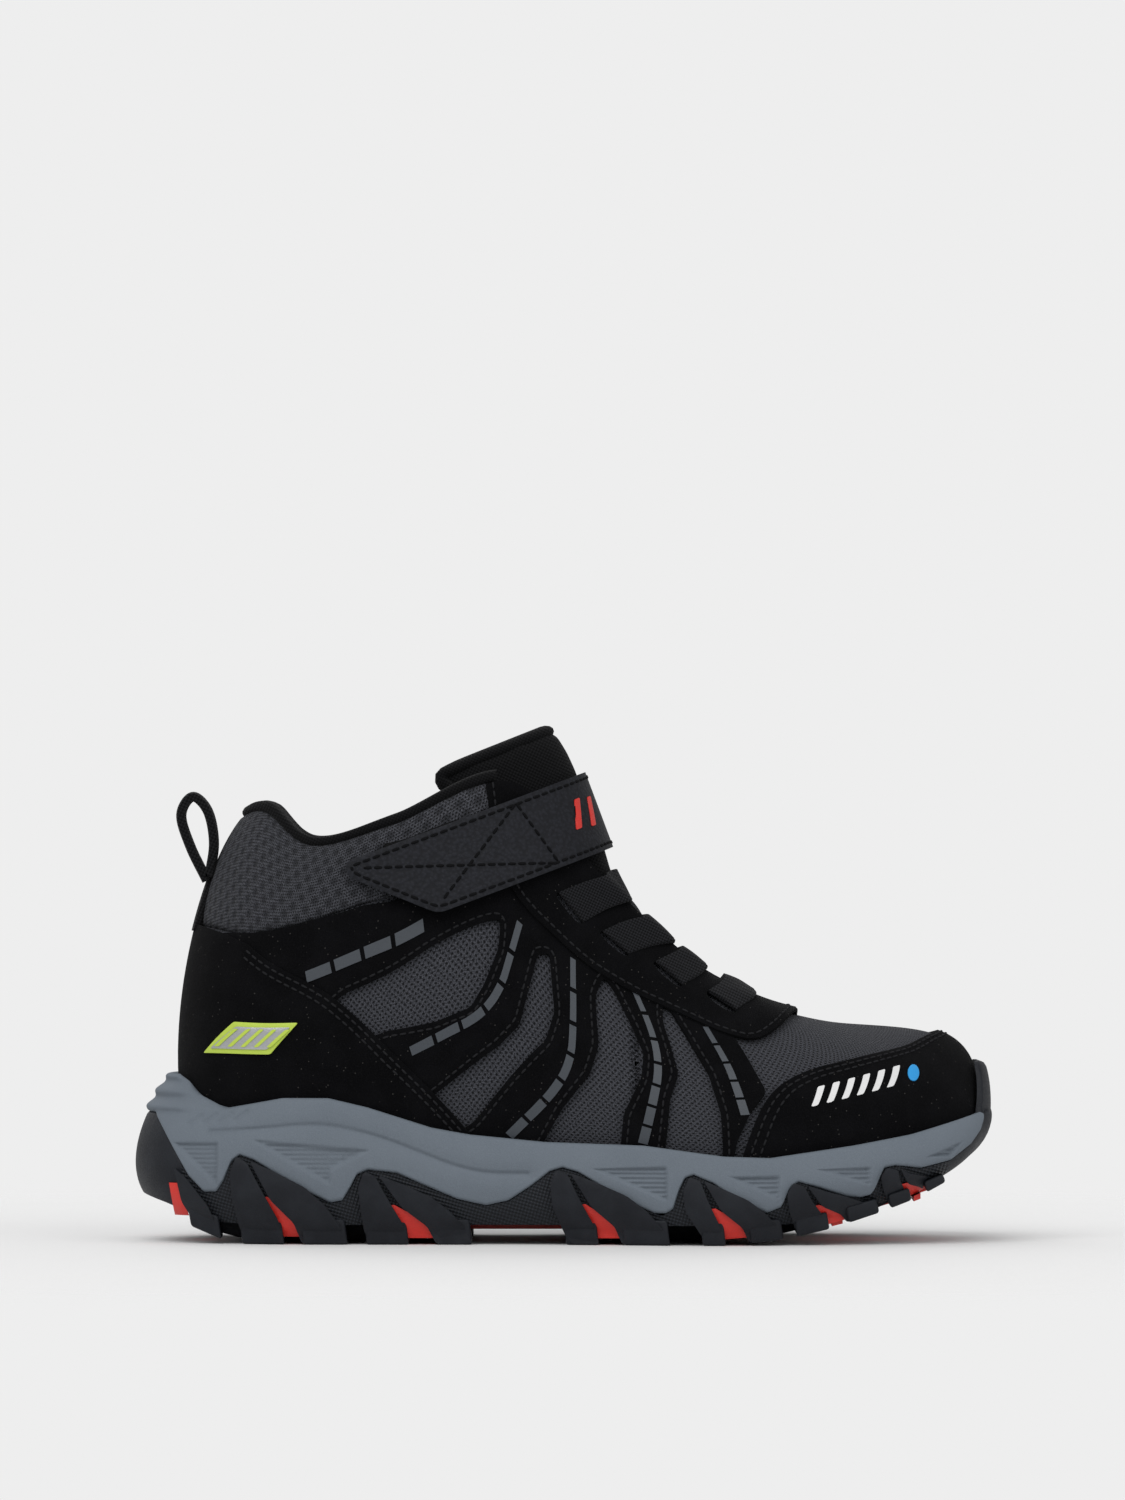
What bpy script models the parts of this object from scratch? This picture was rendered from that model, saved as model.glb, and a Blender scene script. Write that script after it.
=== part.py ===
"""Child's mid-cut hiking boot, right foot, as an assembly of separate closed solids.

Frame: +X towards the toe, +Z up, +Y towards the wearer's left (the inner side of this right boot).
The origin is on the ground under the middle of the whole boot. Design sizes below are millimetres.
A boot is symmetric pieces about a curved centreline here: a design point is (x, w, z), where w is the
distance from the centreline, and side -1 (outer) or +1 (inner) places it.
"""
import math

import bmesh
import bpy
import numpy as np
from mathutils.geometry import delaunay_2d_cdt

MM = 0.001
OUTER, INNER = -1, 1

# ---------------------------------------------------------------- driving dimensions (mm)
CENTRE_SHIFT = (0.545, 0.886, 0.0)   # design point that the frame's origin sits on
TOE_SWING = 3.0                      # how far the toe end of the centreline leans to the inner side
SWING_START, SWING_LENGTH = 10.0, 100.0

MESH_THICK = 1.1                     # base textile of the upper, inwards from the reference surface
OVERLAY_IN, OVERLAY_OUT = 0.55, 1.35  # synthetic overlays, outwards from it
EYESTAY_OUT = 1.55
STIFFENER_IN, STIFFENER_OUT = -2.5, -1.6
LINING_DEPTH, COLLAR_DEPTH, LINING_THICK = 3.0, 7.5, 0.8
RIM_GAP, RIM_THICK = 2.0, 1.9        # midsole cup rim round the upper
LAYER_GAP = 0.5
PLATE_THICK = 2.4                    # outsole plate over the lugs
WRAP_THICK = 1.9                     # outsole rubber up the midsole's side
LUG_PROUD = 1.7                      # side fins stand out this far from the rubber wrap
RIB_DROP, RIB_INSET = 0.7, 1.7       # the red web's ribs, below its spine's top and inside the wall
STRAP_THICK, STRAP_WIDTH = 1.6, 21.0
LACE_THICK = 1.1
LOOP_WIDTH, LOOP_THICK = 11.0, 2.0
SEAM_GAP = 0.0025                    # half the gap left at the collar seam, in v
SOLE_STEPS = 50                      # steps along each side of the sole's rings

# ---------------------------------------------------------------- the upper's reference surface
# Ten ribs from the middle of the heel's back round to the toe. Each is a Bezier of four points
# (x, w, z): the lasting edge, two handles, and the collar or throat edge.
UPPER_RIBS = np.array([
    [(-97, 0, 27), (-103, 0, 52), (-97, 0, 88), (-83, 0, 112.5)],
    [(-90, 18, 26.5), (-95, 21.5, 50), (-88, 19, 86), (-77, 13.5, 113.8)],
    [(-74, 26, 26), (-76, 33, 48), (-72, 29, 82), (-65, 23, 105)],
    [(-48, 28.5, 25), (-49, 35.5, 46), (-47, 31, 82), (-44, 25.5, 110.8)],
    [(-20, 29, 22.5), (-21, 36.5, 44), (-19, 29, 88), (-14, 19.5, 121.6)],
    [(9, 31, 19.5), (9, 39, 36), (9, 29, 72), (9.5, 15, 96)],
    [(42, 36.5, 16.5), (43, 43.5, 31), (40, 28, 60), (32, 13, 73)],
    [(79, 33, 18.5), (84, 40, 36), (66, 27, 57.5), (45, 8.5, 64.5)],
    [(101, 21, 24), (107, 26, 45), (82, 15, 56.5), (50.5, 4.2, 60.8)],
    [(108, 0, 27), (112.5, 0, 64), (92, 0, 52.5), (52, 0, 59.4)],
], float)

# Top of the midsole's rim in side view, (x, z).
RIM_LINE = np.array([(-100, 44), (-95.5, 39), (-88, 35.4), (-73, 38.2), (-61, 38.2), (-50.8, 35.8),
                     (-34, 30.5), (-24, 28.7), (-4.4, 26.8), (21, 26), (42, 23.2), (54, 22.8),
                     (76, 26), (91, 28.7), (111.5, 34.4)], float)

# The sole's side wall: ten ribs of three points, tread edge, widest point, shoulder; the rim ends it.
SOLE_RIBS = np.array([
    [(-103, 0, 6), (-120, 0, 14), (-111, 0, 34)],
    [(-96, 19, 4), (-110, 26, 12), (-102, 25, 31)],
    [(-76, 29, 2.6), (-79, 37, 9), (-77, 36, 28)],
    [(-48, 31, 2.6), (-49, 38, 9), (-49, 37, 26)],
    [(-20, 31.5, 4), (-20, 37, 9), (-20, 37.5, 20)],
    [(10, 34, 3.6), (10, 40, 8), (10, 40, 18)],
    [(42, 39.5, 2.6), (42, 45, 7), (42.5, 44.5, 16)],
    [(80, 35, 10), (83, 42, 15), (83, 41.5, 22)],
    [(99, 22, 17), (107, 28, 22), (107.5, 28, 28)],
    [(103, 0, 21), (112.5, 0, 25), (113.5, 0, 33)],
], float)

# Where the grey midsole meets the dark rubber wrap in side view, (x, z): crests and troughs.
WAVE_LINE = np.array([(-107, 34), (-102.8, 26.7), (-97.5, 17.5), (-93.7, 13.7), (-90.4, 13.8),
                      (-88.4, 16.8), (-86.3, 21.7), (-84.2, 23.4), (-80.5, 22.1), (-73.8, 18),
                      (-65.6, 13.4), (-60.5, 11.1), (-57.3, 11.7), (-55.2, 15.1), (-53.5, 18.4),
                      (-50.6, 19.6), (-43.1, 18.8), (-35.7, 15.5), (-27.3, 12), (-19.9, 10.4),
                      (-14.1, 11.7), (-8.3, 15.5), (-3.3, 19.3), (0, 20.3), (4.2, 19), (11.9, 14.3),
                      (19.5, 10.2), (25.7, 7.8), (28.7, 9.7), (30.2, 14.3), (31.8, 17.7), (34, 18.5),
                      (39.3, 16.2), (45.5, 11.7), (53.1, 8.6), (57, 10.2), (58.9, 14.7),
                      (61.2, 16.7), (66.9, 15.1), (73.7, 12.8), (79.9, 12.4), (81.4, 15.1),
                      (83.7, 20.1), (86.7, 20.8), (93.6, 20.1), (101.3, 21.9), (106.6, 25.8),
                      (109.3, 29.2), (112, 36)], float)

# Height of the tread's contact line in side view, (x, z): bevelled heel, flat, arch, toe spring.
GROUND_LINE = np.array([(-110, 12), (-104, 7.5), (-98, 5), (-89, 1.2), (-83, 0), (-36, 0), (-23, 0),
                        (0, 0), (43, 0), (58, 1.6), (70, 4.4), (83, 8.6), (92, 12), (100, 16.2),
                        (106.5, 20.5), (112, 27)], float)

# Top of the outsole plate in side view, (x, z).
PLATE_LINE = np.array([(-112, 15.5), (-104, 13), (-96, 10), (-88, 8), (-80, 7.6), (0, 7.6), (50, 7.6),
                       (60, 8), (70, 9.8), (80, 12.3), (90, 15.4), (100, 19.2), (106, 22.5),
                       (112, 27)], float)

# Toe bumper: its top, the loop position where it rises and over how much, how far its face stands
# outside the sole's wall, and how far the midsole's face draws back behind it.
BUMPER_TOP, BUMPER_START, BUMPER_RUN, BUMPER_OUT, BUMPER_INSET = 44.5, 0.925, 0.04, 0.4, 1.3

# Tread claws in side view: (crest x, crest z, rear fin foot x0, x1, front fin foot x0, x1).
CLAWS = [(-84.5, 22, -83.5, -72.5, -67.5, -56),
         (-51, 18.2, -51, -40, -32.5, -23.5),
         (-1, 18.8, 1, 9.5, 16, 28),
         (33.5, 17, 36.5, 42.5, 49, 57.5),
         (60.5, 15.4, 61, 69.5, 74.5, 82.5),
         (85, 19.2, 85.5, 91, 95, 100)]
HEEL_FIN = (-98, 17, -97, -89)       # the lone fin behind the first claw: top x, top z, foot x0, x1

# ---------------------------------------------------------------- outlines in side view, (x, z)
COLLAR_SEAM = np.array([(-93.5, 83), (-82, 80.8), (-66.4, 84.2), (-52.2, 89), (-30, 95), (-12, 99)], float)
HEEL_EDGE = [(-81.3, 77.7), (-65.6, 68.7), (-55.2, 61.2), (-40.2, 46.2), (-29.8, 35.8), (-22.5, 27.6)]
EYESTAY_EDGE = [(-17.5, 106), (-13.3, 89.6), (1.6, 76.1), (16.6, 65.7), (31.5, 59), (43.5, 53.7),
                (50.5, 52.0)]
CAGE_OUTLINE = [(-79, 78.6), (-66.4, 83.4), (-52.2, 88.2), (-30, 94), (-17.2, 97), (-14.8, 88.6),
                (0.6, 75.2), (15.8, 64.9), (30.8, 58.1), (42, 53.4), (46.5, 48.2), (53, 39.6),
                (48.7, 34), (45.4, 27), (43.8, 19.6), (20, 20), (0, 21.6), (-19.4, 24.2),
                (-28.0, 36.9), (-38.8, 47.3), (-54.3, 62.2), (-65, 69.7)]
CAGE_WINDOWS = [
    [(-54.5, 65.2), (-47.7, 71.2), (-34.3, 77.2), (-22.3, 81.6), (-16.4, 83.4), (-17, 77.6),
     (-22.3, 66.8), (-34.3, 58.6), (-44.6, 56.4)],
    [(-27.6, 39.6), (-22.3, 45.8), (-13.3, 53.3), (-10.3, 63.8), (-5.5, 74.6), (-3.2, 73.6),
     (-3.2, 58.2), (-6.9, 46.3), (-13.3, 38.8), (-21.6, 31.6)],
    [(-3.4, 24.6), (1.8, 33.4), (7.6, 45.7), (9.9, 57.8), (11.6, 64.6), (14.4, 63.6), (19.4, 53.7),
     (20.1, 46.3), (16.4, 34.3), (15, 23.8)],
    [(28.6, 23.2), (30.4, 37), (30, 46.3), (26.9, 55.6), (31.4, 52.8), (37.2, 43.3), (40.6, 31.3),
     (40.4, 23)],
]
TOE_CAP_EDGE = [(46.6, 21.6), (47.3, 25), (50.8, 34.3), (55, 40.2), (60.6, 43.6), (67.4, 46),
                (80.8, 48.9), (93, 52.2)]
TOE_CAP_TIP_X = 99.5                 # where the toe cap's edge crosses the centreline
EMBLEM_OUTLINE = [(-92, 49.6), (-84.5, 57.8), (-68.5, 57.8), (-75.5, 49.6)]

EYESTAY_FRONT_X = 61.6               # where the eyestay's rounded front crosses the centreline
LOOP_PATCH_OUTLINE = [(-49, 93), (-46.5, 104), (-27, 110.5), (-23, 100.0)]

# Tongue centre line in side view, (x, z), from its sewn root to its top, and its section along it:
# how far each side reaches from the centre, how far it bows back, and half its angle in degrees.
TONGUE_LINE = np.array([(62, 52.5), (54, 56.2), (46, 61.4), (36.6, 67.7), (27.2, 75), (19.2, 85),
                        (13.4, 94), (9.4, 107), (5.2, 118), (1.8, 127), (-2.8, 134.9)], float)
TONGUE_LENGTH = 128.0
TONGUE_REACH = [4.0, 5.0, 6.2, 9.0, 10.6, 11.6, 12.2, 13.0, 13.8, 13.6, 12.8]
TONGUE_BOW = [2.0, 3.0, 5.0, 8.0, 10.0, 11.5, 13.0, 17.0, 27.0, 36.0, 40.0]
TONGUE_CURL = [50, 50, 50, 52, 54, 56, 60, 68, 78, 82, 82]

# Elastic laces, top row first: the outer slit's centre and its length along the throat in side view,
# (x, z), and where the lace crosses the tongue, as a share of the tongue's line.
LACES = [((1.5, 87.2), (5.2, -6.4), 0.585), ((13.2, 77.8), (5.6, -4.9), 0.455),
         ((27.1, 69.5), (5.8, -5.0), 0.355), ((41.2, 62.0), (6.2, -4.0), 0.235)]

# Strap band: centre of its front, its tilt, and arc lengths of its ends and fold lines.
STRAP_FRONT = (8.2, 112.7)
STRAP_TILT = math.radians(20.5)
STRAP_TIP, STRAP_CORNER = -81.2, -62.7
STRAP_PEEL_AT, STRAP_OPEN_AT, STRAP_SEWN_END = -34.0, 40.0, 58.0
STRAP_SLIT = 0.35                    # half the gap between two pieces of the strap
STRAP_LEAN = -0.135                  # how far the band leans in over each mm across it

# Half of the strap's path seen from above its band: (back along the strap, out from the centreline).
STRAP_PATH = np.array([(0, 0), (-0.8, 6), (-3.0, 11.9), (-6.8, 17.2), (-12, 21.7), (-18, 24.8),
                       (-24, 26.9), (-30, 28.4), (-36, 29.4), (-42, 30.2), (-48, 31.0), (-54, 31.6),
                       (-60, 32.0), (-68, 32.3)], float)

U_SPAN, V_SPAN = 245.0, 80.0         # about the size of the chart in mm, so its triangles come out even

MATERIALS = {                        # slot: (colour, roughness, metallic)
    "nubuck": ((0.010, 0.010, 0.012), 0.8, 0.0), "mesh": ((0.09, 0.09, 0.10), 0.9, 0.0),
    "midsole": ((0.20, 0.235, 0.275), 0.75, 0.0), "rubber": ((0.022, 0.026, 0.034), 0.6, 0.0),
    "red": ((0.75, 0.02, 0.012), 0.5, 0.0), "lining": ((0.012, 0.012, 0.013), 0.95, 0.0),
    "strap": ((0.028, 0.031, 0.042), 0.6, 0.0), "webbing": ((0.008, 0.008, 0.009), 0.9, 0.0),
    "foam": ((0.5, 0.48, 0.42), 0.95, 0.0), "board": ((0.6, 0.55, 0.45), 0.9, 0.0),
    "stiffener": ((0.7, 0.7, 0.68), 0.6, 0.0), "shank": ((0.05, 0.05, 0.05), 0.4, 0.0),
    "hook": ((0.015, 0.015, 0.016), 0.9, 0.0), "emblem": ((0.62, 0.72, 0.35), 0.4, 0.0),
}


# ---------------------------------------------------------------- curves and surfaces
def clear_scene():
    for obj in list(bpy.data.objects):
        bpy.data.objects.remove(obj, do_unlink=True)


def catmull(rows, t, mirrored=False):
    """Catmull-Rom curve through rows (K, ..., 3) at t in 0..1; mirrored reflects w at both ends."""
    rows = np.asarray(rows, float)
    first, last = rows[1].copy(), rows[-2].copy()
    if mirrored:
        first[..., 1] *= -1
        last[..., 1] *= -1
    else:
        first, last = 2 * rows[0] - rows[1], 2 * rows[-1] - rows[-2]
    padded = np.concatenate([[first], rows, [last]])
    place = np.clip(np.asarray(t, float), 0, 1) * (len(rows) - 1)
    i = np.minimum(place.astype(int), len(rows) - 2)
    f = (place - i).reshape((-1,) + (1,) * (rows.ndim - 1))
    a, b, c, d = (padded[i + k] for k in range(4))
    return 0.5 * (2 * b + (c - a) * f + (2 * a - 5 * b + 4 * c - d) * f ** 2
                  + (3 * b - a - 3 * c + d) * f ** 3)


def bezier(controls, v):
    """Cubic Bezier of controls (n, 4, 3) at v (n,)."""
    v = np.asarray(v, float)[:, None]
    a, b, c, d = (controls[:, k] for k in range(4))
    return a * (1 - v) ** 3 + 3 * b * v * (1 - v) ** 2 + 3 * c * v ** 2 * (1 - v) + d * v ** 3


def along(line, x):
    """Height of a side-view line at x."""
    return np.interp(x, line[:, 0], line[:, 1])


def raw_upper(u, v):
    return bezier(catmull(UPPER_RIBS, u, mirrored=True), v)


def with_normals(surface, u, v):
    """Points and outward unit normals of surface(u, v) in (x, w, z)."""
    step = 1e-3
    u, v = np.broadcast_arrays(np.asarray(u, float), np.asarray(v, float))
    u, v = u.ravel(), v.ravel()
    du = surface(np.minimum(u + step, 1), v) - surface(np.maximum(u - step, 0), v)
    dv = surface(u, v + step) - surface(u, v - step)
    du[u <= step, 0] = 0
    du[u <= step, 2] = 0
    du[u >= 1 - step, 0] = 0
    du[u >= 1 - step, 2] = 0
    normal = np.cross(dv, du)
    return surface(u, v), normal / np.linalg.norm(normal, axis=1)[:, None]


def upper(u, v, depth=0.0):
    """The upper's reference surface, moved outwards by depth."""
    points, normals = with_normals(raw_upper, u, v)
    return points + normals * np.asarray(depth, float).reshape(-1, 1)


def chart(points, axes=(0, 2), surface=None, grid=(181, 61)):
    """(u, v) on a surface, the upper by default, of side-view points (x, z), or of plan points (x, w)
    with axes (0, 1): the nearest sample, then Newton steps where they come closer."""
    surface = surface or raw_upper
    axes = list(axes)
    us, vs = np.meshgrid(np.linspace(0, 1, grid[0]), np.linspace(0, 1, grid[1]), indexing="ij")
    table = surface(us.ravel(), vs.ravel())[:, axes]
    found = []
    for target in np.asarray(points, float):
        away = ((table - target) ** 2).sum(1)
        near = np.argmin(away)
        start = np.array([us.ravel()[near], vs.ravel()[near]])
        uv, step = start, 1e-4
        for _ in range(6):
            here, over, up = surface(np.array([uv[0], uv[0] + step, uv[0]]),
                                     np.array([uv[1], uv[1], uv[1] + step]))[:, axes]
            slope = np.array([(over - here) / step, (up - here) / step]).T
            if abs(np.linalg.det(slope)) < 1e-3:
                break
            uv = np.clip(uv + np.linalg.solve(slope, target - here), [0.001, 0], [0.999, 1])
        end = surface(uv[:1], uv[1:])[0, axes]
        found.append(uv if ((end - target) ** 2).sum() < away[near] else start)
    return np.array(found)


def v_at_height(u, target):
    """v where the rib at u reaches a height: a side-view line, or one height for each u."""
    low, high = np.zeros(len(u)), np.ones(len(u))
    for _ in range(30):
        middle = (low + high) / 2
        point = raw_upper(u, middle)
        goal = along(target, point[:, 0]) if np.ndim(target) == 2 else target
        above = point[:, 2] > goal
        high = np.where(above, middle, high)
        low = np.where(above, low, middle)
    return (low + high) / 2


def centre_v(x):
    """v at which the toe's centreline reaches x."""
    vs = np.linspace(0, 1, 400)
    xs = raw_upper(np.ones(400), vs)[:, 0]
    top = np.argmax(xs)
    return float(np.interp(-x, -xs[top:], vs[top:]))


def board_height(x):
    """Height of the lasting edge, on which the insole board lies."""
    edge = catmull(UPPER_RIBS[:, 0], np.linspace(0, 1, 200), mirrored=True)
    return np.interp(x, edge[:, 0], edge[:, 2])


def placed(points, side):
    """Design points (x, w, z) on one side of the centreline, as (x, y, z)."""
    points = np.array(points, float)
    swing = np.clip((points[:, 0] - SWING_START) / SWING_LENGTH, 0, 1)
    points[:, 1] = side * points[:, 1] + TOE_SWING * swing ** 2 * (3 - 2 * swing)
    return points


def around(g):
    """Loop position g, where 0 is the heel, 1 the toe, as (u, side). Negative g is the inner side."""
    g = (np.asarray(g, float) + 1) % 2 - 1
    return np.abs(g), np.where(g >= 0, OUTER, INNER)


def on_loop(surface, g, v, depth=0.0):
    """surface(u, v, depth) at loop positions g, already placed."""
    g, v, depth = np.broadcast_arrays(np.asarray(g, float), v, depth)
    u, side = around(g.ravel())
    return placed(surface(u, v.ravel(), depth.ravel()), side)


# ---------------------------------------------------------------- the sole's wall
def rim(u, out):
    """Points on the midsole rim's top edge, out from the upper."""
    u = np.asarray(u, float)
    points = upper(u, v_at_height(u, RIM_LINE), out)
    points[:, 2] = along(RIM_LINE, points[:, 0])
    return points


def raw_sole(u, h):
    """The sole's wall; above h = 1 it goes on up the toe, 10 mm for each 1 of h."""
    controls = catmull(SOLE_RIBS, u, mirrored=True)
    top = rim(u, RIM_GAP + RIM_THICK)
    points = bezier(np.concatenate([controls, top[:, None]], axis=1), np.minimum(h, 1))
    high = top[:, 2] + (np.maximum(h, 1) - 1) * 10
    beyond = upper(u, v_at_height(u, high), RIM_GAP + RIM_THICK)
    return np.where((h > 1)[:, None], beyond, points)


def sole(u, h, depth=0.0):
    """The sole's side wall, h from 0 at the tread edge to 1 at the rim."""
    points, normals = with_normals(raw_sole, u, np.broadcast_to(h, np.shape(u)))
    normals[:, 2] = 0
    normals /= np.linalg.norm(normals, axis=1)[:, None]
    return points + normals * np.asarray(depth, float).reshape(-1, 1)


def on_wall(x, z, depth):
    """The point of the sole's wall at x and z in side view, moved outwards by depth."""
    u, h = chart([(x, z)], surface=raw_sole, grid=(241, 31))[0]
    return sole(np.array([u]), np.array([h]), depth)[0]


def wall_height(u, target):
    """h where the sole's wall at each u reaches a target height target(x)."""
    low, high = np.zeros(len(u)), np.ones(len(u))
    for _ in range(26):
        middle = (low + high) / 2
        point = raw_sole(u, middle)
        above = point[:, 2] > target(point[:, 0])
        high = np.where(above, middle, high)
        low = np.where(above, low, middle)
    return (low + high) / 2


def bumper(u):
    """0 along the sides, 1 where the toe bumper stands."""
    t = np.clip((np.asarray(u, float) - BUMPER_START) / BUMPER_RUN, 0, 1)
    return t * t * (3 - 2 * t)


def ground(x):
    return float(along(GROUND_LINE, x))


def plate_top(x):
    return along(PLATE_LINE, x)


# ---------------------------------------------------------------- solids
def material(slot):
    made = bpy.data.materials.get(slot)
    if made is None:
        colour, roughness, metallic = MATERIALS[slot]
        made = bpy.data.materials.new(slot)
        made.use_nodes = True
        shader = made.node_tree.nodes["Principled BSDF"]
        shader.inputs["Base Color"].default_value = (*colour, 1)
        shader.inputs["Roughness"].default_value = roughness
        shader.inputs["Metallic"].default_value = metallic
    return made


def add_solid(name, points, faces, slot, hidden=False):
    """A closed mesh object from points in design millimetres."""
    shifted = (np.asarray(points, float) - np.array(CENTRE_SHIFT)) * MM
    mesh = bpy.data.meshes.new(name)
    mesh.from_pydata(shifted.tolist(), [], [tuple(int(i) for i in f) for f in faces])
    work = bmesh.new()
    work.from_mesh(mesh)
    bmesh.ops.remove_doubles(work, verts=work.verts, dist=1e-7)
    bmesh.ops.recalc_face_normals(work, faces=work.faces)
    bmesh.ops.triangulate(work, faces=work.faces)
    if work.calc_volume(signed=True) < 0:
        bmesh.ops.reverse_faces(work, faces=work.faces)
    work.to_mesh(mesh)
    work.free()
    mesh.materials.append(material(slot))
    mesh.shade_smooth()
    mesh.set_sharp_from_angle(angle=math.radians(35))
    obj = bpy.data.objects.new(name, mesh)
    bpy.context.scene.collection.objects.link(obj)
    if hidden:
        obj.hide_render = True
        obj.display_type = "WIRE"
    return obj


def grid_shell(name, outer, inner, slot):
    """A sheet from two (n, m, 3) grids of points, closed round its border."""
    n, m = outer.shape[:2]
    points = np.concatenate([outer.reshape(-1, 3), inner.reshape(-1, 3)])
    index = np.arange(n * m).reshape(n, m)
    other = index + n * m
    faces = []
    for i in range(n - 1):
        for j in range(m - 1):
            faces.append((index[i, j], index[i + 1, j], index[i + 1, j + 1], index[i, j + 1]))
            faces.append((other[i, j], other[i, j + 1], other[i + 1, j + 1], other[i + 1, j]))
    border = ([index[i, 0] for i in range(n)] + [index[-1, j] for j in range(1, m)]
              + [index[i, -1] for i in range(n - 2, -1, -1)] + [index[0, j] for j in range(m - 2, 0, -1)])
    for a, b in zip(border, border[1:] + border[:1]):
        faces.append((b, a, a + n * m, b + n * m))
    return add_solid(name, points, faces, slot)


def band(name, g0, g1, v0, v1, d_in, d_out, slot, steps, rows, surface=upper):
    """A grid sheet on the surface between loop positions g0, g1 and heights v0(u), v1(u)."""
    g = np.linspace(g0, g1, steps + 1)
    u, _ = around(g)
    share = np.linspace(0, 1, rows + 1)
    v = v0(u)[:, None] * (1 - share) + v1(u)[:, None] * share
    gg = np.repeat(g[:, None], rows + 1, axis=1)
    layers = []
    for depth in (d_out, d_in):
        deep = depth(np.abs(around(gg)[0]), v) if callable(depth) else depth
        layers.append(on_loop(surface, gg, v, deep).reshape(steps + 1, rows + 1, 3))
    return grid_shell(name, layers[0], layers[1], slot)


def resampled(loop, spacing, closed=True):
    """Points along a polyline no further apart than spacing, corners kept."""
    loop = np.asarray(loop, float)
    ends = np.roll(loop, -1, axis=0) if closed else loop[1:]
    out = []
    for a, b in zip(loop, ends):
        n = max(1, math.ceil(np.linalg.norm(b - a) / spacing))
        out.extend(a + (b - a) * k / n for k in range(n))
    if not closed:
        out.append(loop[-1])
    return np.array(out)


def inside(points, loop):
    """Even-odd test of 2-D points against a closed loop."""
    x, y = points[:, 0], points[:, 1]
    result = np.zeros(len(points), bool)
    for (x0, y0), (x1, y1) in zip(loop, np.roll(loop, -1, axis=0)):
        if y0 == y1:
            continue
        crosses = ((y0 > y) != (y1 > y)) & (x < (x1 - x0) * (y - y0) / (y1 - y0) + x0)
        result ^= crosses
    return result


def fill(outline, holes, spacing):
    """Triangles of a 2-D outline with holes, with inner points about spacing apart."""
    loops = [resampled(outline, spacing)] + [resampled(h, spacing) for h in holes]
    low, high = loops[0].min(0), loops[0].max(0)
    row = spacing * math.sqrt(3) / 2
    grid = [(x + (k % 2) * spacing / 2, y)
            for k, y in enumerate(np.arange(low[1] + row / 2, high[1], row))
            for x in np.arange(low[0], high[0], spacing)]
    grid = np.array(grid) if grid else np.zeros((0, 2))
    keep = inside(grid, loops[0]) if len(grid) else np.zeros(0, bool)
    for hole in loops[1:]:
        keep &= ~inside(grid, hole)
    border = np.concatenate(loops)
    if len(grid):
        apart = np.sqrt(((grid[:, None] - border[None]) ** 2).sum(2)).min(1)
        keep &= apart > spacing * 0.55
        grid = grid[keep]
    edges, start = [], 0
    for loop in loops:
        edges += [(start + k, start + (k + 1) % len(loop)) for k in range(len(loop))]
        start += len(loop)
    points = np.concatenate([border, grid])
    made = delaunay_2d_cdt([tuple(p) for p in points], edges, [], 0, 1e-6)
    verts, faces = np.array([tuple(v) for v in made[0]]), np.array(made[2])
    centres = verts[faces].mean(1)
    keep = inside(centres, loops[0])
    for hole in loops[1:]:
        keep &= ~inside(centres, hole)
    return verts, faces[keep]


def sheet(name, points2d, faces, lift, slot):
    """A sheet from a 2-D triangulation; lift(points2d, layer) places layer 0 (outer) and 1 (inner)."""
    count = len(points2d)
    points = np.concatenate([lift(points2d, 0), lift(points2d, 1)])
    solid = [tuple(f) for f in faces] + [tuple(f[::-1] + count) for f in faces]
    seen = {}
    for a, b, c in faces:
        for edge in ((a, b), (b, c), (c, a)):
            seen[edge] = True
    for a, b in seen:
        if (b, a) not in seen:
            solid.append((b, a, a + count, b + count))
    used = np.unique(np.concatenate([np.array(f) for f in solid]))
    renumber = {old: new for new, old in enumerate(used)}
    return add_solid(name, points[used], [tuple(renumber[i] for i in f) for f in solid], slot)


def panel(name, outline, holes, d_in, d_out, slot, spacing=8.0):
    """A sheet on the upper from outlines in the chart (g, v)."""
    scale = np.array([U_SPAN, V_SPAN])
    points, faces = fill(np.asarray(outline) * scale, [np.asarray(h) * scale for h in holes], spacing)
    points = points / scale

    def lift(at, layer):
        return on_loop(upper, at[:, 0], at[:, 1], d_in if layer else d_out)
    return sheet(name, points, faces, lift, slot)


def side_chart(line, side):
    """Side-view points as chart points (g, v), on the outer or the inner side."""
    uv = chart(line)
    if side == INNER:
        uv[:, 0] *= -1
    return uv


def both_sides(edge, middle_v):
    """A chart outline from one side's edge, over the toe's centreline, to its mirror image."""
    other = np.stack([2 - edge[::-1, 0], edge[::-1, 1]], 1)
    return [tuple(p) for p in edge] + [(1.0, middle_v)] + [tuple(p) for p in other]


def ring_points(count):
    """Loop positions of a ring: heel, outer side, toe, inner side."""
    return np.linspace(0, 2, 2 * count, endpoint=False)


def loft(name, rings, slot, hidden=False):
    """A closed body from rings of 2M points each, capped across the boot at both ends."""
    size = len(rings[0])
    half = size // 2
    points = np.concatenate(rings)
    faces = []
    for k in range(len(rings) - 1):
        for j in range(size):
            a, b = k * size + j, k * size + (j + 1) % size
            faces.append((a, b, b + size, a + size))
    for k, flip in ((0, True), (len(rings) - 1, False)):
        base = k * size
        for j in range(half):
            left, right = base + j, base + (size - j) % size
            left2, right2 = base + j + 1, base + (size - j - 1) % size
            cell = [left, left2, right2, right]
            cell = [i for n, i in enumerate(cell) if i not in cell[:n]]
            faces.append(tuple(cell[::-1] if flip else cell))
    return add_solid(name, points, faces, slot, hidden)


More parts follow.
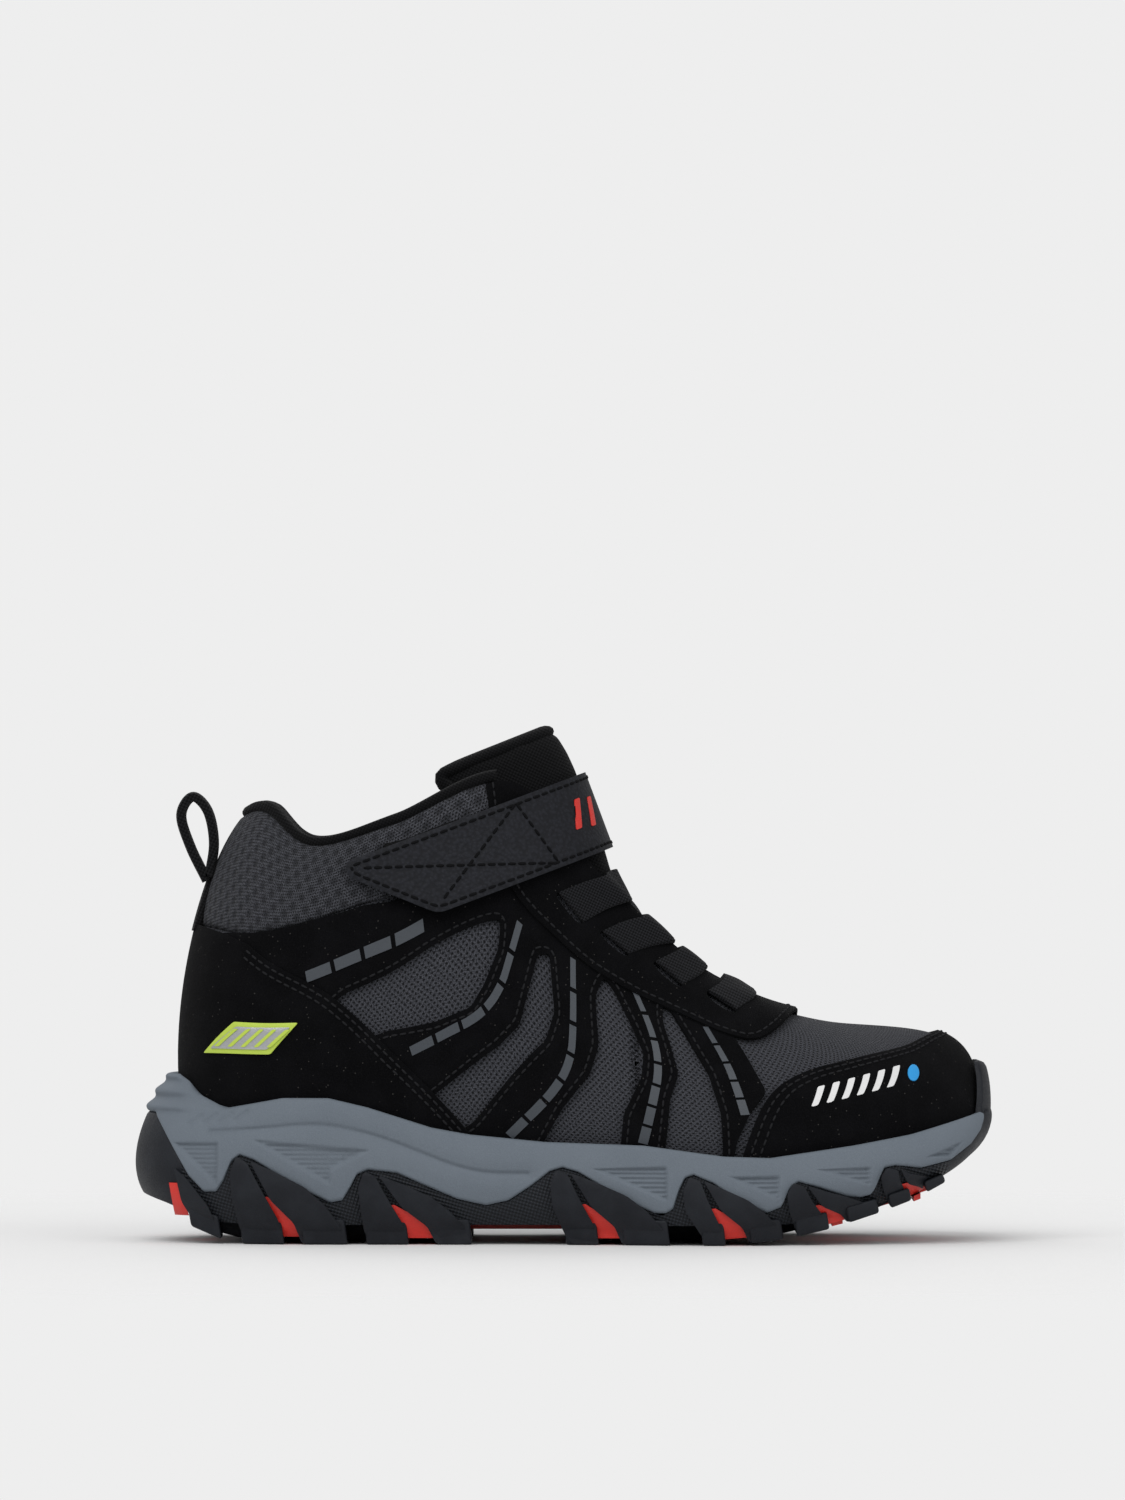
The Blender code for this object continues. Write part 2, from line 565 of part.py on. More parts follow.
def prism(name, ring_low, ring_high, slot):
    """A block between two matching polygons."""
    n = len(ring_low)
    faces = [tuple(range(n))[::-1], tuple(range(n, 2 * n))]
    faces += [(k, (k + 1) % n, (k + 1) % n + n, k + n) for k in range(n)]
    return add_solid(name, np.concatenate([ring_low, ring_high]), faces, slot, hidden=True)


def add_union(target, others):
    """Joins the other objects into target with exact unions, and removes them."""
    for other in others:
        join = target.modifiers.new("join_" + other.name, "BOOLEAN")
        join.operation = "UNION"
        join.solver = "MANIFOLD"
        join.object = other
    graph = bpy.context.evaluated_depsgraph_get()
    mesh = bpy.data.meshes.new_from_object(target.evaluated_get(graph))
    target.modifiers.clear()
    target.data = mesh
    for other in others:
        bpy.data.objects.remove(other, do_unlink=True)
    return target


# ---------------------------------------------------------------- sole
def build_midsole():
    g = ring_points(SOLE_STEPS)
    u, side = around(g)
    inset = (WRAP_THICK + LAYER_GAP) * (1 - bumper(u)) + BUMPER_INSET * bumper(u)
    toe_inset = BUMPER_INSET * bumper(u)
    floor_h = wall_height(u, lambda x: plate_top(x) + LAYER_GAP)
    wave_h = np.maximum(wall_height(u, lambda x: along(WAVE_LINE, x)), floor_h + 0.02)
    wave_h = np.minimum(wave_h, 0.93)
    bottom = sole(u, floor_h, -inset)
    under = sole(u, wave_h, -inset)
    over = sole(u, wave_h + 0.03, -toe_inset)
    upper_wall = sole(u, (wave_h + 1.03) / 2, -toe_inset)
    outer_rim = sole(u, np.ones(len(u)), -toe_inset)
    inner_rim = rim(u, RIM_GAP)
    low_v = v_at_height(u, RIM_LINE) * 0.45
    inner_low = upper(u, low_v, RIM_GAP)
    foot = upper(u, np.zeros(len(u)), RIM_GAP)
    foot[:, 2] = board_height(foot[:, 0]) - 2.6
    rings = [placed(r, side) for r in (bottom, under, over, upper_wall, outer_rim, inner_rim,
                                       inner_low, foot)]
    return loft("midsole", rings, "midsole")


def fin_outline(crest, foot0, foot1, steep):
    """Side-view corners of a curved fin from a claw's crest down to its foot."""
    cx, cz = crest
    top0 = (cx - 2.2, cz - 3.0) if steep else (cx + 4.2, cz - 3.2)
    top1 = (cx + 3.2, cz - 2.4) if steep else (cx + 9.5, cz - 6.0)
    z0, z1 = ground(foot0), ground(foot1)
    lean = 0.28 if steep else 0.42
    mid0 = (top0[0] + (foot0 - top0[0]) * lean, (top0[1] + z0) / 2)
    mid1 = (top1[0] + (foot1 - top1[0]) * 0.66, (top1[1] + z1) / 2)
    return [(foot0 + 1.2, z0 + 0.5), (foot1, z1 + 0.5), mid1, top1, top0, mid0, (foot0, z0 + 3.0)]


def wall_block(name, corners, depth_in, depth_out, side, slot):
    """A block on the sole's wall from side-view corners (x, z)."""
    inner, outer = [], []
    for x, z in corners:
        for points, depth in ((inner, depth_in), (outer, depth_out)):
            p = on_wall(x, z, depth)
            p[2] = z
            points.append(p)
    return prism(name, placed(inner, side), placed(outer, side), slot)


def tread_block(name, x0, x1, w_in, side, slot):
    """A lug under the plate, from w_in out to the wall, with a flat foot."""
    flat = max(ground(x0), ground(x1)) < 0.05
    low, high = [], []
    for x, edge in ((x0, 0), (x1, 0), (x1, 1), (x0, 1)):
        w = on_wall(x, ground(x) + 5, LUG_PROUD - 0.6)[1] if edge else w_in
        z = 0.0 if flat else ground(x)
        taper = 1.2 if edge else -0.8
        low.append((x, w - taper, z))
        high.append((x - 0.8, w, float(plate_top(x)) - 0.9))
    return prism(name, placed(low, side), placed(high, side), slot)


def build_outsole():
    g = ring_points(SOLE_STEPS)
    u, side = around(g)
    toe = bumper(u)
    low_h = wall_height(u, lambda x: plate_top(x) - PLATE_THICK)
    top_h = wall_height(u, plate_top)
    wave_h = np.maximum(wall_height(u, lambda x: along(WAVE_LINE, x)), top_h + 0.02)
    rise = (BUMPER_TOP - rim(u, 0)[:, 2]) / 10
    wave_h = np.minimum(wave_h, 0.93) * (1 - toe) + (1 + rise) * toe
    out, into = BUMPER_OUT * toe, -WRAP_THICK * (1 - toe) - (BUMPER_INSET - LAYER_GAP) * toe
    rings = [sole(u, low_h + (wave_h - low_h) * share, out) for share in (0, 0.16, 0.4, 0.7, 1)]
    rings += [sole(u, top_h + (wave_h - top_h) * share, into) for share in (1, 0.7, 0.4, 0.16, 0)]
    plate = loft("outsole", [placed(r, side) for r in rings], "rubber")
    extra = []
    for s, tag in ((OUTER, "o"), (INNER, "i")):
        for k, (cx, cz, a0, a1, b0, b1) in enumerate(CLAWS):
            for part, x0, x1 in (("a", a0, a1), ("b", b0, b1)):
                corners = fin_outline((cx, cz), x0, x1, part == "a")
                extra.append(wall_block(f"fin_{part}{k}{tag}", corners, -1.2, LUG_PROUD, s, "rubber"))
                w_in = 12.0 if x1 < 92 else 9.5
                extra.append(tread_block(f"lug_{part}{k}{tag}", x0, x1, w_in, s, "rubber"))
        top_x, top_z, x0, x1 = HEEL_FIN
        corners = [(x0 + 1, ground(x0) + 0.8), (x1, ground(x1) + 0.6), (x1 - 3.5, 10), (top_x, top_z),
                   (top_x - 3.5, top_z + 3), (x0 - 2.5, 11)]
        extra.append(wall_block(f"fin_h{tag}", corners, -1.2, LUG_PROUD, s, "rubber"))
        extra.append(tread_block(f"lug_h{tag}", x0, x1, 11.0, s, "rubber"))
    low = placed([(-107, -11, 8.6), (-101.5, -14, 6.6), (-101.5, 14, 6.6), (-107, 11, 8.6)], OUTER)
    high = placed([(-110.5, -10, 12.6), (-101, -14, 12.6), (-101, 14, 12.6), (-110.5, 10, 12.6)], OUTER)
    extra.append(prism("heel_foot", low, high, "rubber"))
    return add_union(plate, extra)


def build_web():
    """Red rubber web: a spine under the plate with a rib out to each window between the fins."""
    xs = np.linspace(-96, 96, 22)
    top = plate_top(xs) - PLATE_THICK - LAYER_GAP
    layers = []
    for drop in (0.0, 1.6):
        rows = [placed(np.stack([xs, np.full(len(xs), w), top - drop], 1), 1) for w in (-8.0, 8.0)]
        layers.append(np.stack(rows, 1))
    spine = grid_shell("outsole_web", layers[0], layers[1], "red")
    ribs = []
    for s in (OUTER, INNER):
        for k, (_, _, _, a1, b0, _) in enumerate(CLAWS):
            low, high = [], []
            for x, edge in ((a1 + 0.7, 0), (b0 - 1.5, 0), (b0 - 1.5, 1), (a1 + 0.7, 1)):
                z = float(plate_top(x)) - PLATE_THICK - LAYER_GAP - RIB_DROP
                w = on_wall(x, z - 1.4, -RIB_INSET)[1] if edge else 6.0
                low.append((x, w, z - 1.4))
                high.append((x, w, z))
            ribs.append(prism(f"rib{k}{s}", placed(low, s), placed(high, s), "red"))
    return add_union(spine, ribs)


# ---------------------------------------------------------------- inside the boot
def lasting_ring(g, inset, dz):
    """A ring inside the upper's lasting edge, inset from it and dz above the board's height."""
    u, side = around(g)
    points = upper(u, np.zeros(len(u)), -inset)
    points[:, 2] = board_height(points[:, 0]) + dz
    return placed(points, side)


def build_insole_parts():
    g = ring_points(24)
    loft("insole_board", [lasting_ring(g, 5.2, -1.0), lasting_ring(g, 5.2, 0.4)], "board")
    loft("footbed", [lasting_ring(g, 5.8, 2.1), lasting_ring(g, 5.4, 6.5), lasting_ring(g, 6.8, 6.5),
                     lasting_ring(g, 9.5, 4.6)], "lining")
    xs = np.linspace(-68, 22, 12)
    layers = []
    for dz in (-1.35, -2.2):
        rows = [placed(np.stack([xs, np.full(12, w), board_height(xs) + dz], 1), 1) for w in (-7.0, 7.0)]
        layers.append(np.stack(rows, 1))
    grid_shell("shank", layers[0], layers[1], "shank")


def lining_depth(u, v):
    """How deep the lining lies: deep behind the padded collar, shallow elsewhere."""
    padded = np.clip((0.47 - u) / 0.07, 0, 1) * np.clip((v - 0.52) / 0.2, 0, 1)
    smooth = padded * padded * (3 - 2 * padded)
    return -(LINING_DEPTH + (COLLAR_DEPTH - LINING_DEPTH) * smooth)


def build_lining():
    g = ring_points(26)
    u, side = around(g)
    top = 0.97 - 0.13 * np.clip((u - 0.46) / 0.06, 0, 1)
    rings = []
    shares = [0, 0.18, 0.36, 0.54, 0.68, 0.8, 0.9, 1.0]
    for extra, order in ((0.0, shares), (LINING_THICK, shares[::-1])):
        for share in order:
            v = top * share
            ring = upper(u, v, lining_depth(u, v) - extra)
            if share == 0:
                ring[:, 2] = board_height(ring[:, 0]) + 0.8 + extra
            rings.append(placed(ring, side))
    return loft("lining_bootie", rings, "lining")


# ---------------------------------------------------------------- upper
def build_upper_layers():
    def constant(value):
        return lambda u: np.full(len(u), float(value))

    def seam_v(u):
        return v_at_height(u, COLLAR_SEAM)

    def quarter_top(u):
        return np.where(u < 0.44, np.minimum(seam_v(u) - SEAM_GAP, 0.99), 0.99)

    band("vamp_mesh", 0.64, 1.36, constant(0.0), constant(0.99), -MESH_THICK, 0, "mesh", 26, 7)
    for sign, tag in ((1, "outer"), (-1, "inner")):
        band(f"quarter_mesh_{tag}", sign * 0.003, sign * 0.635, constant(0.0), quarter_top, -MESH_THICK, 0,
             "mesh", 22, 7)
    band("collar_mesh", -0.425, 0.425, lambda u: seam_v(u) + SEAM_GAP, constant(0.965), -MESH_THICK, 0,
         "mesh", 26, 4)
    band("collar_foam", -0.415, 0.415, lambda u: np.maximum(seam_v(u) + 0.01, 0.66), constant(0.955),
         lambda u, v: lining_depth(u, v) + 0.5, -MESH_THICK - 0.5, "foam", 24, 3)
    band("heel_counter", -0.27, 0.27, constant(0.03), constant(0.52), STIFFENER_IN, STIFFENER_OUT,
         "stiffener", 16, 4)
    band("toe_puff", 0.80, 1.20, constant(0.03), constant(0.55), STIFFENER_IN, STIFFENER_OUT,
         "stiffener", 16, 4)


def build_binding():
    """Rounded textile edge round the collar's top, from the outer mesh over to the lining."""
    steps, around_section = 28, 12
    g = np.linspace(-0.43, 0.43, steps + 1)
    u, side = around(g)
    inner_edge = lining_depth(u, np.ones(len(u))) - LINING_THICK + 0.5
    middle, half = (inner_edge + 0.7) / 2, (0.7 - inner_edge) / 2
    rings = []
    for k in range(around_section):
        angle = 2 * math.pi * (k + 0.5) / around_section
        across, up = (math.copysign(abs(f) ** 0.6, f) for f in (math.cos(angle), math.sin(angle)))
        v = np.full(len(u), 1.001 + 0.03 * up)
        rings.append(placed(upper(u, v, middle + half * across), side))
    points = np.stack(rings, 1)
    n, m = points.shape[:2]
    faces = [(i * m + j, (i + 1) * m + j, (i + 1) * m + (j + 1) % m, i * m + (j + 1) % m)
             for i in range(n - 1) for j in range(m)]
    faces += [tuple(range(m))[::-1], tuple(range((n - 1) * m, n * m))]
    return add_solid("collar_binding", points.reshape(-1, 3), faces, "lining")


def eyestay_outline():
    """The eyestay's outline in the chart: its side edges, a rounded front, and the throat's edge."""
    side_edge = chart(EYESTAY_EDGE)
    corner = raw_upper(side_edge[-1:, 0], side_edge[-1:, 1])[0]
    u = np.linspace(side_edge[-1, 0], 1, 9)[1:-1]
    low, high = np.zeros(len(u)), np.ones(len(u))
    for _ in range(30):
        middle = (low + high) / 2
        point = raw_upper(u, middle)
        ahead = np.maximum(point[:, 0] - corner[0], 0) / (EYESTAY_FRONT_X - corner[0])
        outside = ahead ** 2 + (point[:, 1] / corner[1]) ** 2 > 1
        low, high = np.where(outside, middle, low), np.where(outside, high, middle)
    edge = np.concatenate([side_edge, np.stack([u, low], 1)])
    start = edge[0][0]
    throat = [(g, 0.985) for g in np.linspace(2 - start - 0.012, start + 0.012, 40)]
    return both_sides(edge, centre_v(EYESTAY_FRONT_X)) + throat


def build_overlays():
    for side, tag in ((OUTER, "outer"), (INNER, "inner")):
        sign = 1 if side == OUTER else -1
        heel_line = side_chart(HEEL_EDGE, side)
        back_v = v_at_height(np.array([0.004]), COLLAR_SEAM)[0] - SEAM_GAP
        heel = [(sign * 0.011, 0.06), (sign * 0.011, back_v)] + [tuple(p) for p in heel_line]
        heel += [(heel_line[-1][0], 0.06)]
        panel(f"heel_cover_{tag}", heel, [], OVERLAY_IN, OVERLAY_OUT, "nubuck")
        windows = [side_chart(w, side) for w in CAGE_WINDOWS]
        panel(f"cage_{tag}", side_chart(CAGE_OUTLINE, side), windows, OVERLAY_IN, OVERLAY_OUT,
              "nubuck", 7.0)
    edge = chart(TOE_CAP_EDGE)
    low_g = edge[0][0]
    outline = both_sides(edge, centre_v(TOE_CAP_TIP_X)) + [(2 - low_g, 0.06), (low_g, 0.06)]
    panel("toe_cap", outline, [], OVERLAY_IN, OVERLAY_OUT, "nubuck")
    panel("eyestay", eyestay_outline(), [], OVERLAY_IN, EYESTAY_OUT, "nubuck", 7.0)
    band("backstay", -0.028, 0.028, lambda u: np.full(len(u), 0.68), lambda u: np.full(len(u), 0.74),
         0.5, 1.4, "webbing", 4, 3)
    panel("heel_emblem", side_chart(EMBLEM_OUTLINE, OUTER), [], OVERLAY_OUT + 0.35, OVERLAY_OUT + 1.05,
          "emblem", 4.0)


# ---------------------------------------------------------------- tongue and laces
def tongue_table(table, r):
    return np.interp(r, np.linspace(0, 1, len(table)), table)


def tongue_frame(r):
    """Centre point and forward normal of the tongue line at r in 0..1, in side view."""
    r = np.asarray(r, float)
    line = np.insert(TONGUE_LINE, 1, 0.0, axis=1)
    point = catmull(line, r)
    tangent = catmull(line, np.minimum(r + 0.01, 1)) - catmull(line, np.maximum(r - 0.01, 0))
    tangent /= np.linalg.norm(tangent, axis=1)[:, None]
    normal = np.stack([tangent[:, 2], np.zeros(len(r)), -tangent[:, 0]], 1)
    share = np.clip((r - 0.62) / 0.2, 0, 1)[:, None]
    normal = normal * (1 - share) + np.array([0.93, 0, 0.37]) * share
    return point, normal / np.linalg.norm(normal, axis=1)[:, None]


def tongue_surface(r, t, height):
    """A point on the arched tongue: r along it, t across from -1 to 1, height out from its face."""
    r, t, height = np.broadcast_arrays(np.asarray(r, float), t, height)
    r, t, height = r.ravel(), t.ravel(), height.ravel()
    point, normal = tongue_frame(r)
    curl = np.radians(tongue_table(TONGUE_CURL, r))
    reach = tongue_table(TONGUE_REACH, r) / np.sin(curl)
    bow = tongue_table(TONGUE_BOW, r)
    angle = curl * t
    forward, sideways = reach * np.cos(angle), bow * np.sin(angle)
    size = np.hypot(forward, sideways)
    back = -bow * (1 - np.cos(angle)) + height * forward / size
    out = point + normal * back[:, None]
    out[:, 1] = reach * np.sin(angle) + height * sideways / size
    return out


def tongue_layer(name, out, into, slot, trim, rows=18, columns=12):
    r = np.linspace(0.0, 1.0 - trim, rows + 1)
    t = np.linspace(-1 + trim, 1 - trim, columns + 1)
    rr = np.repeat(r[:, None], columns + 1, axis=1)
    tt = np.repeat(t[None], rows + 1, axis=0)
    thin = np.clip(0.4 + rr * 2.2, 0, 1)
    grids = [placed(tongue_surface(rr, tt, depth * thin), 1).reshape(rows + 1, columns + 1, 3)
             for depth in (out, into)]
    return grid_shell(name, grids[0], grids[1], slot)


def build_tongue():
    tongue_layer("tongue_face", 0.0, -1.0, "lining", 0.0)
    tongue_layer("tongue_foam", -1.35, -4.6, "foam", 0.02)
    tongue_layer("tongue_lining", -5.1, -5.9, "lining", 0.0)


def throat_crossing(start, end):
    """u at which a side-view line from start to end crosses the throat's edge."""
    us = np.linspace(0.45, 0.98, 500)
    edge = raw_upper(us, np.ones(500))[:, [0, 2]] - start
    way = np.array(end) - start
    offset = edge[:, 0] * way[1] - edge[:, 1] * way[0]
    return us[np.argmin(np.abs(offset))]


def lace_edge(slit, crest_r, depth_end, depth_edge, depth_crest):
    """One edge of a lace band, from its outer slit over the tongue to its inner slit, as (x, w, z)."""
    u0, v0 = chart([slit])[0]
    crest = tongue_surface(np.array([crest_r]), 0.0, depth_crest)[0]
    shoulder = tongue_surface(np.array([crest_r]), 0.55, depth_crest + 0.6)[0]
    u1 = throat_crossing(np.array(slit), (shoulder[0], shoulder[2]))
    us, vs = np.array([u0, (u0 + u1) / 2, u1]), np.array([v0, (v0 + 0.985) / 2, 0.985])
    end, middle, edge = upper(us, vs, np.array([depth_end, depth_end + 0.45, depth_edge]))
    mirror = np.array([1, -1, 1])
    half = [end, middle, edge, shoulder]
    knots = np.array(half + [crest] + [p * mirror for p in half[::-1]])
    return catmull(knots, np.linspace(0, 1, 23))


def build_laces():
    """Flat elastics over the tongue, each with its ends in the eyestay's slits."""
    for k, (slit, along_slit, r0) in enumerate(LACES):
        slit, along_slit = np.array(slit), np.array(along_slit)
        size = np.linalg.norm(along_slit)
        outer, inner = [], []
        for edge in (-0.5, 0.5):
            at, r = slit + along_slit * edge, r0 - edge * size / TONGUE_LENGTH
            outer.append(placed(lace_edge(at, r, EYESTAY_OUT + 0.35 + LACE_THICK, 2.2 + LACE_THICK,
                                          1.2 + LACE_THICK), OUTER))
            inner.append(placed(lace_edge(at, r, EYESTAY_OUT + 0.35, 2.2, 1.2), OUTER))
        grid_shell(f"elastic_lace_{k + 1}", np.stack(outer, 1), np.stack(inner, 1), "webbing")


# ---------------------------------------------------------------- ankle strap
def strap_axes():
    along_strap = np.array([math.cos(STRAP_TILT), 0, math.sin(STRAP_TILT)])
    across = np.array([-math.sin(STRAP_TILT), 0, math.cos(STRAP_TILT)])
    return along_strap, across


def strap_point(s, q, out):
    """A strap point: s round the boot (negative outer side), q across, out from its inner face."""
    s, q, out = np.broadcast_arrays(np.asarray(s, float), q, out)
    s, q, out = s.ravel(), q.ravel(), out.ravel()
    fine = catmull(np.insert(STRAP_PATH, 2, 0.0, axis=1), np.linspace(0, 1, 300))[:, :2]
    length = np.concatenate([[0], np.cumsum(np.linalg.norm(np.diff(fine, axis=0), axis=1))])
    a, w = (np.interp(np.abs(s), length, fine[:, k]) for k in (0, 1))
    a2, w2 = (np.interp(np.abs(s) + 0.5, length, fine[:, k]) for k in (0, 1))
    a1, w1 = (np.interp(np.abs(s) - 0.5, length, fine[:, k]) for k in (0, 1))
    tangent = np.stack([a2 - a1, w2 - w1], 1)
    tangent /= np.linalg.norm(tangent, axis=1)[:, None]
    along_strap, across = strap_axes()
    lean = STRAP_LEAN * np.clip(np.abs(s) / 25, 0, 1)
    a = a + tangent[:, 1] * out
    w = w - tangent[:, 0] * out + lean * q
    base = np.array([STRAP_FRONT[0], 0, STRAP_FRONT[1]])
    points = base + a[:, None] * along_strap + q[:, None] * across
    points[:, 1] = np.where(s < 0, -w, w)
    return placed(points, 1)


def strap_piece(name, s0, s1, steps, slot, low=None, out=(0.0, STRAP_THICK), high=STRAP_WIDTH / 2):
    s = np.linspace(s0, s1, steps + 1)
    rows = 3
    share = np.linspace(0, 1, rows + 1)
    bottom = np.full(len(s), -STRAP_WIDTH / 2) if low is None else low(s)
    q = bottom[:, None] * (1 - share) + high * share
    ss = np.repeat(s[:, None], rows + 1, axis=1)
    shape = (steps + 1, rows + 1, 3)
    return grid_shell(name, strap_point(ss, q, out[1]).reshape(shape),
                      strap_point(ss, q, out[0]).reshape(shape), slot)


def build_strap():
    def pointed(s):
        rise = np.clip((STRAP_CORNER - s) / (STRAP_CORNER - STRAP_TIP), 0, 1)
        return -STRAP_WIDTH / 2 + rise * (STRAP_WIDTH - 4.0)
    strap_piece("strap_end", STRAP_TIP, STRAP_PEEL_AT - STRAP_SLIT, 15, "strap", pointed)
    strap_piece("strap_front", STRAP_PEEL_AT + STRAP_SLIT, STRAP_OPEN_AT - STRAP_SLIT, 30, "strap")
    strap_piece("strap_base", STRAP_OPEN_AT + STRAP_SLIT, STRAP_SEWN_END, 5, "strap")
    strap_piece("strap_hook_patch", -60, -40, 4, "hook", lambda s: np.full(len(s), -7.0),
                (-1.1, -0.35), 7.0)


def build_loop_patch():
    panel("strap_loop_patch", side_chart(LOOP_PATCH_OUTLINE, OUTER), [], 0.4, 1.1, "hook")


# ---------------------------------------------------------------- pull loop
def build_pull_loop():
    """Webbing loop standing at the top of the backstay, seen edge-on from the side."""
    centre = catmull(np.array([(-93.6, 0, 94.5), (-98.0, 0, 103.5), (-100.4, 0, 111.8), (-97.4, 0, 116.6),
                               (-93.4, 0, 112.8), (-92.0, 0, 105.5), (-92.0, 0, 99.0)], float),
                     np.linspace(0, 1, 19))
    tangent = np.gradient(centre, axis=0)
    tangent /= np.linalg.norm(tangent, axis=1)[:, None]
    normal = np.stack([-tangent[:, 2], np.zeros(len(centre)), tangent[:, 0]], 1)
    grids = []
    for sign in (1, -1):
        line = centre + normal * LOOP_THICK / 2 * sign
        grids.append(np.stack([line + (0, w, 0) for w in (-LOOP_WIDTH / 2, LOOP_WIDTH / 2)], 1))
    grid_shell("pull_loop", grids[0], grids[1], "webbing")


def main():
    clear_scene()
    build_outsole()
    build_web()
    build_midsole()
    build_insole_parts()
    build_lining()
    build_upper_layers()
    build_binding()
    build_overlays()
    build_tongue()
    build_laces()
    build_strap()
    build_loop_patch()
    build_pull_loop()


main()
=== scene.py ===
"""Looks of the child's hiking boot: fabrics, rubber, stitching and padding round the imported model.

Design sizes are millimetres. A design point is (x, w, z), where w is the distance from the boot's
curved centreline, and side -1 (outer) or +1 (inner) places it. The frame's origin is on the ground
under the middle of the boot, +X towards the toe and +Y towards the wearer's left.
"""
import math

import bmesh
import bpy
import numpy as np
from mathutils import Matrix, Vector
from mathutils.geometry import delaunay_2d_cdt


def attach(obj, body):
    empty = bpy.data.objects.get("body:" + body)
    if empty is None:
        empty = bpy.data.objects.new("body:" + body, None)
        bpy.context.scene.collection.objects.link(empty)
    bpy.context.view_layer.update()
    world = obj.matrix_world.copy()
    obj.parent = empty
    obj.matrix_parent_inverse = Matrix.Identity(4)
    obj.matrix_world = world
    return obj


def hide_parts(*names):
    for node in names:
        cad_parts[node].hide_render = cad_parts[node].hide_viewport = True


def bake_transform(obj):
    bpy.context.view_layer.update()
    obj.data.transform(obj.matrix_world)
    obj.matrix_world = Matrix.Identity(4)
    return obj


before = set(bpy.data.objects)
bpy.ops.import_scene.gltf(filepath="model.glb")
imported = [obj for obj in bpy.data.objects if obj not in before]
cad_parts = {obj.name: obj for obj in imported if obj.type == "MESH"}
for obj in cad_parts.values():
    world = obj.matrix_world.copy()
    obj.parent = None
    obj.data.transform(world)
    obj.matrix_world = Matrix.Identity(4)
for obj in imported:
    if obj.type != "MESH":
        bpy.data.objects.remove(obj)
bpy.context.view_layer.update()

MM = 0.001
OUTER, INNER = -1, 1

# ---------------------------------------------------------------- driving dimensions (mm)
CENTRE_SHIFT = (0.545, 0.886, 0.0)   # design point that the frame's origin sits on
TOE_SWING = 3.0                      # how far the toe end of the centreline leans to the inner side
SWING_START, SWING_LENGTH = 10.0, 100.0

MESH_THICK = 1.1                     # base textile of the upper, inwards from the reference surface
OVERLAY_OUT = 1.35                   # the cages and the toe cap, outwards from it
COVER_LOW, COVER_HIGH = 1.0, 2.0     # the heel covers, over the cages' edges
EYESTAY_LOW, EYESTAY_HIGH = 1.0, 2.1     # the eyestay, over the cages' and the vamp's edges
LINING_DEPTH, COLLAR_DEPTH, LINING_THICK = 3.0, 7.5, 0.8
COLLAR_END = 0.43                    # loop position at which the collar's padding and tape end
THROAT_V = 0.985                     # v of the throat's edge, a little under the rib's end
THROAT_POINTS = 40                   # points of the eyestay's outline along the throat
RIM_GAP, RIM_THICK = 2.0, 1.9        # midsole cup rim round the upper
LAYER_GAP = 0.5
MIDSOLE_PROUD, WRAP_SUNK = 0.35, 0.25    # midsole's face outside the sole's wall, wrap's inside it
PLATE_THICK = 2.4                    # outsole plate over the lugs
WRAP_THICK = 1.9                     # outsole rubber up the midsole's side
LUG_PROUD = 1.7                      # side fins stand out this far from the rubber wrap
LUG_BURIED = 0.9                     # a lug's top lies this far under the plate's top
CENTRE_LUG_HALF = 17.0               # half the width of the blocks under the middle of the sole
STRAP_THICK, STRAP_WIDTH = 1.6, 21.0
LOOP_WIDTH, LOOP_THICK = 11.0, 2.6

# ---------------------------------------------------------------- the upper's reference surface
# Ten ribs from the middle of the heel's back round to the toe. Each is a Bezier of four points
# (x, w, z): the lasting edge, two handles, and the collar or throat edge.
UPPER_RIBS = np.array([
    [(-97, 0, 27), (-103, 0, 52), (-97, 0, 88), (-83, 0, 112.5)],
    [(-90, 18, 26.5), (-95, 21.5, 50), (-88, 19, 86), (-77, 13.5, 113.8)],
    [(-74, 26, 26), (-76, 33, 48), (-72, 29, 82), (-65, 23, 105)],
    [(-48, 28.5, 25), (-49, 35.5, 46), (-47, 31, 82), (-44, 25.5, 110.8)],
    [(-20, 29, 22.5), (-21, 36.5, 44), (-19, 29, 88), (-14, 19.5, 121.6)],
    [(9, 31, 19.5), (9, 39, 36), (9, 29, 72), (9.5, 15, 96)],
    [(42, 36.5, 16.5), (43, 43.5, 31), (40, 28, 60), (32, 13, 73)],
    [(79, 33, 18.5), (84, 40, 36), (66, 27, 57.5), (45, 8.5, 64.5)],
    [(101, 21, 24), (107, 26, 45), (82, 15, 56.5), (50.5, 4.2, 60.8)],
    [(108, 0, 27), (112.5, 0, 64), (92, 0, 52.5), (52, 0, 59.4)],
], float)

# Top of the midsole's rim in side view, (x, z).
RIM_LINE = np.array([(-100, 44), (-95.5, 39), (-88, 35.4), (-73, 38.2), (-61, 38.2), (-50.8, 35.8),
                     (-34, 30.5), (-24, 28.7), (-4.4, 26.8), (21, 26), (42, 23.2), (54, 22.8),
                     (76, 26), (91, 28.7), (111.5, 34.4)], float)

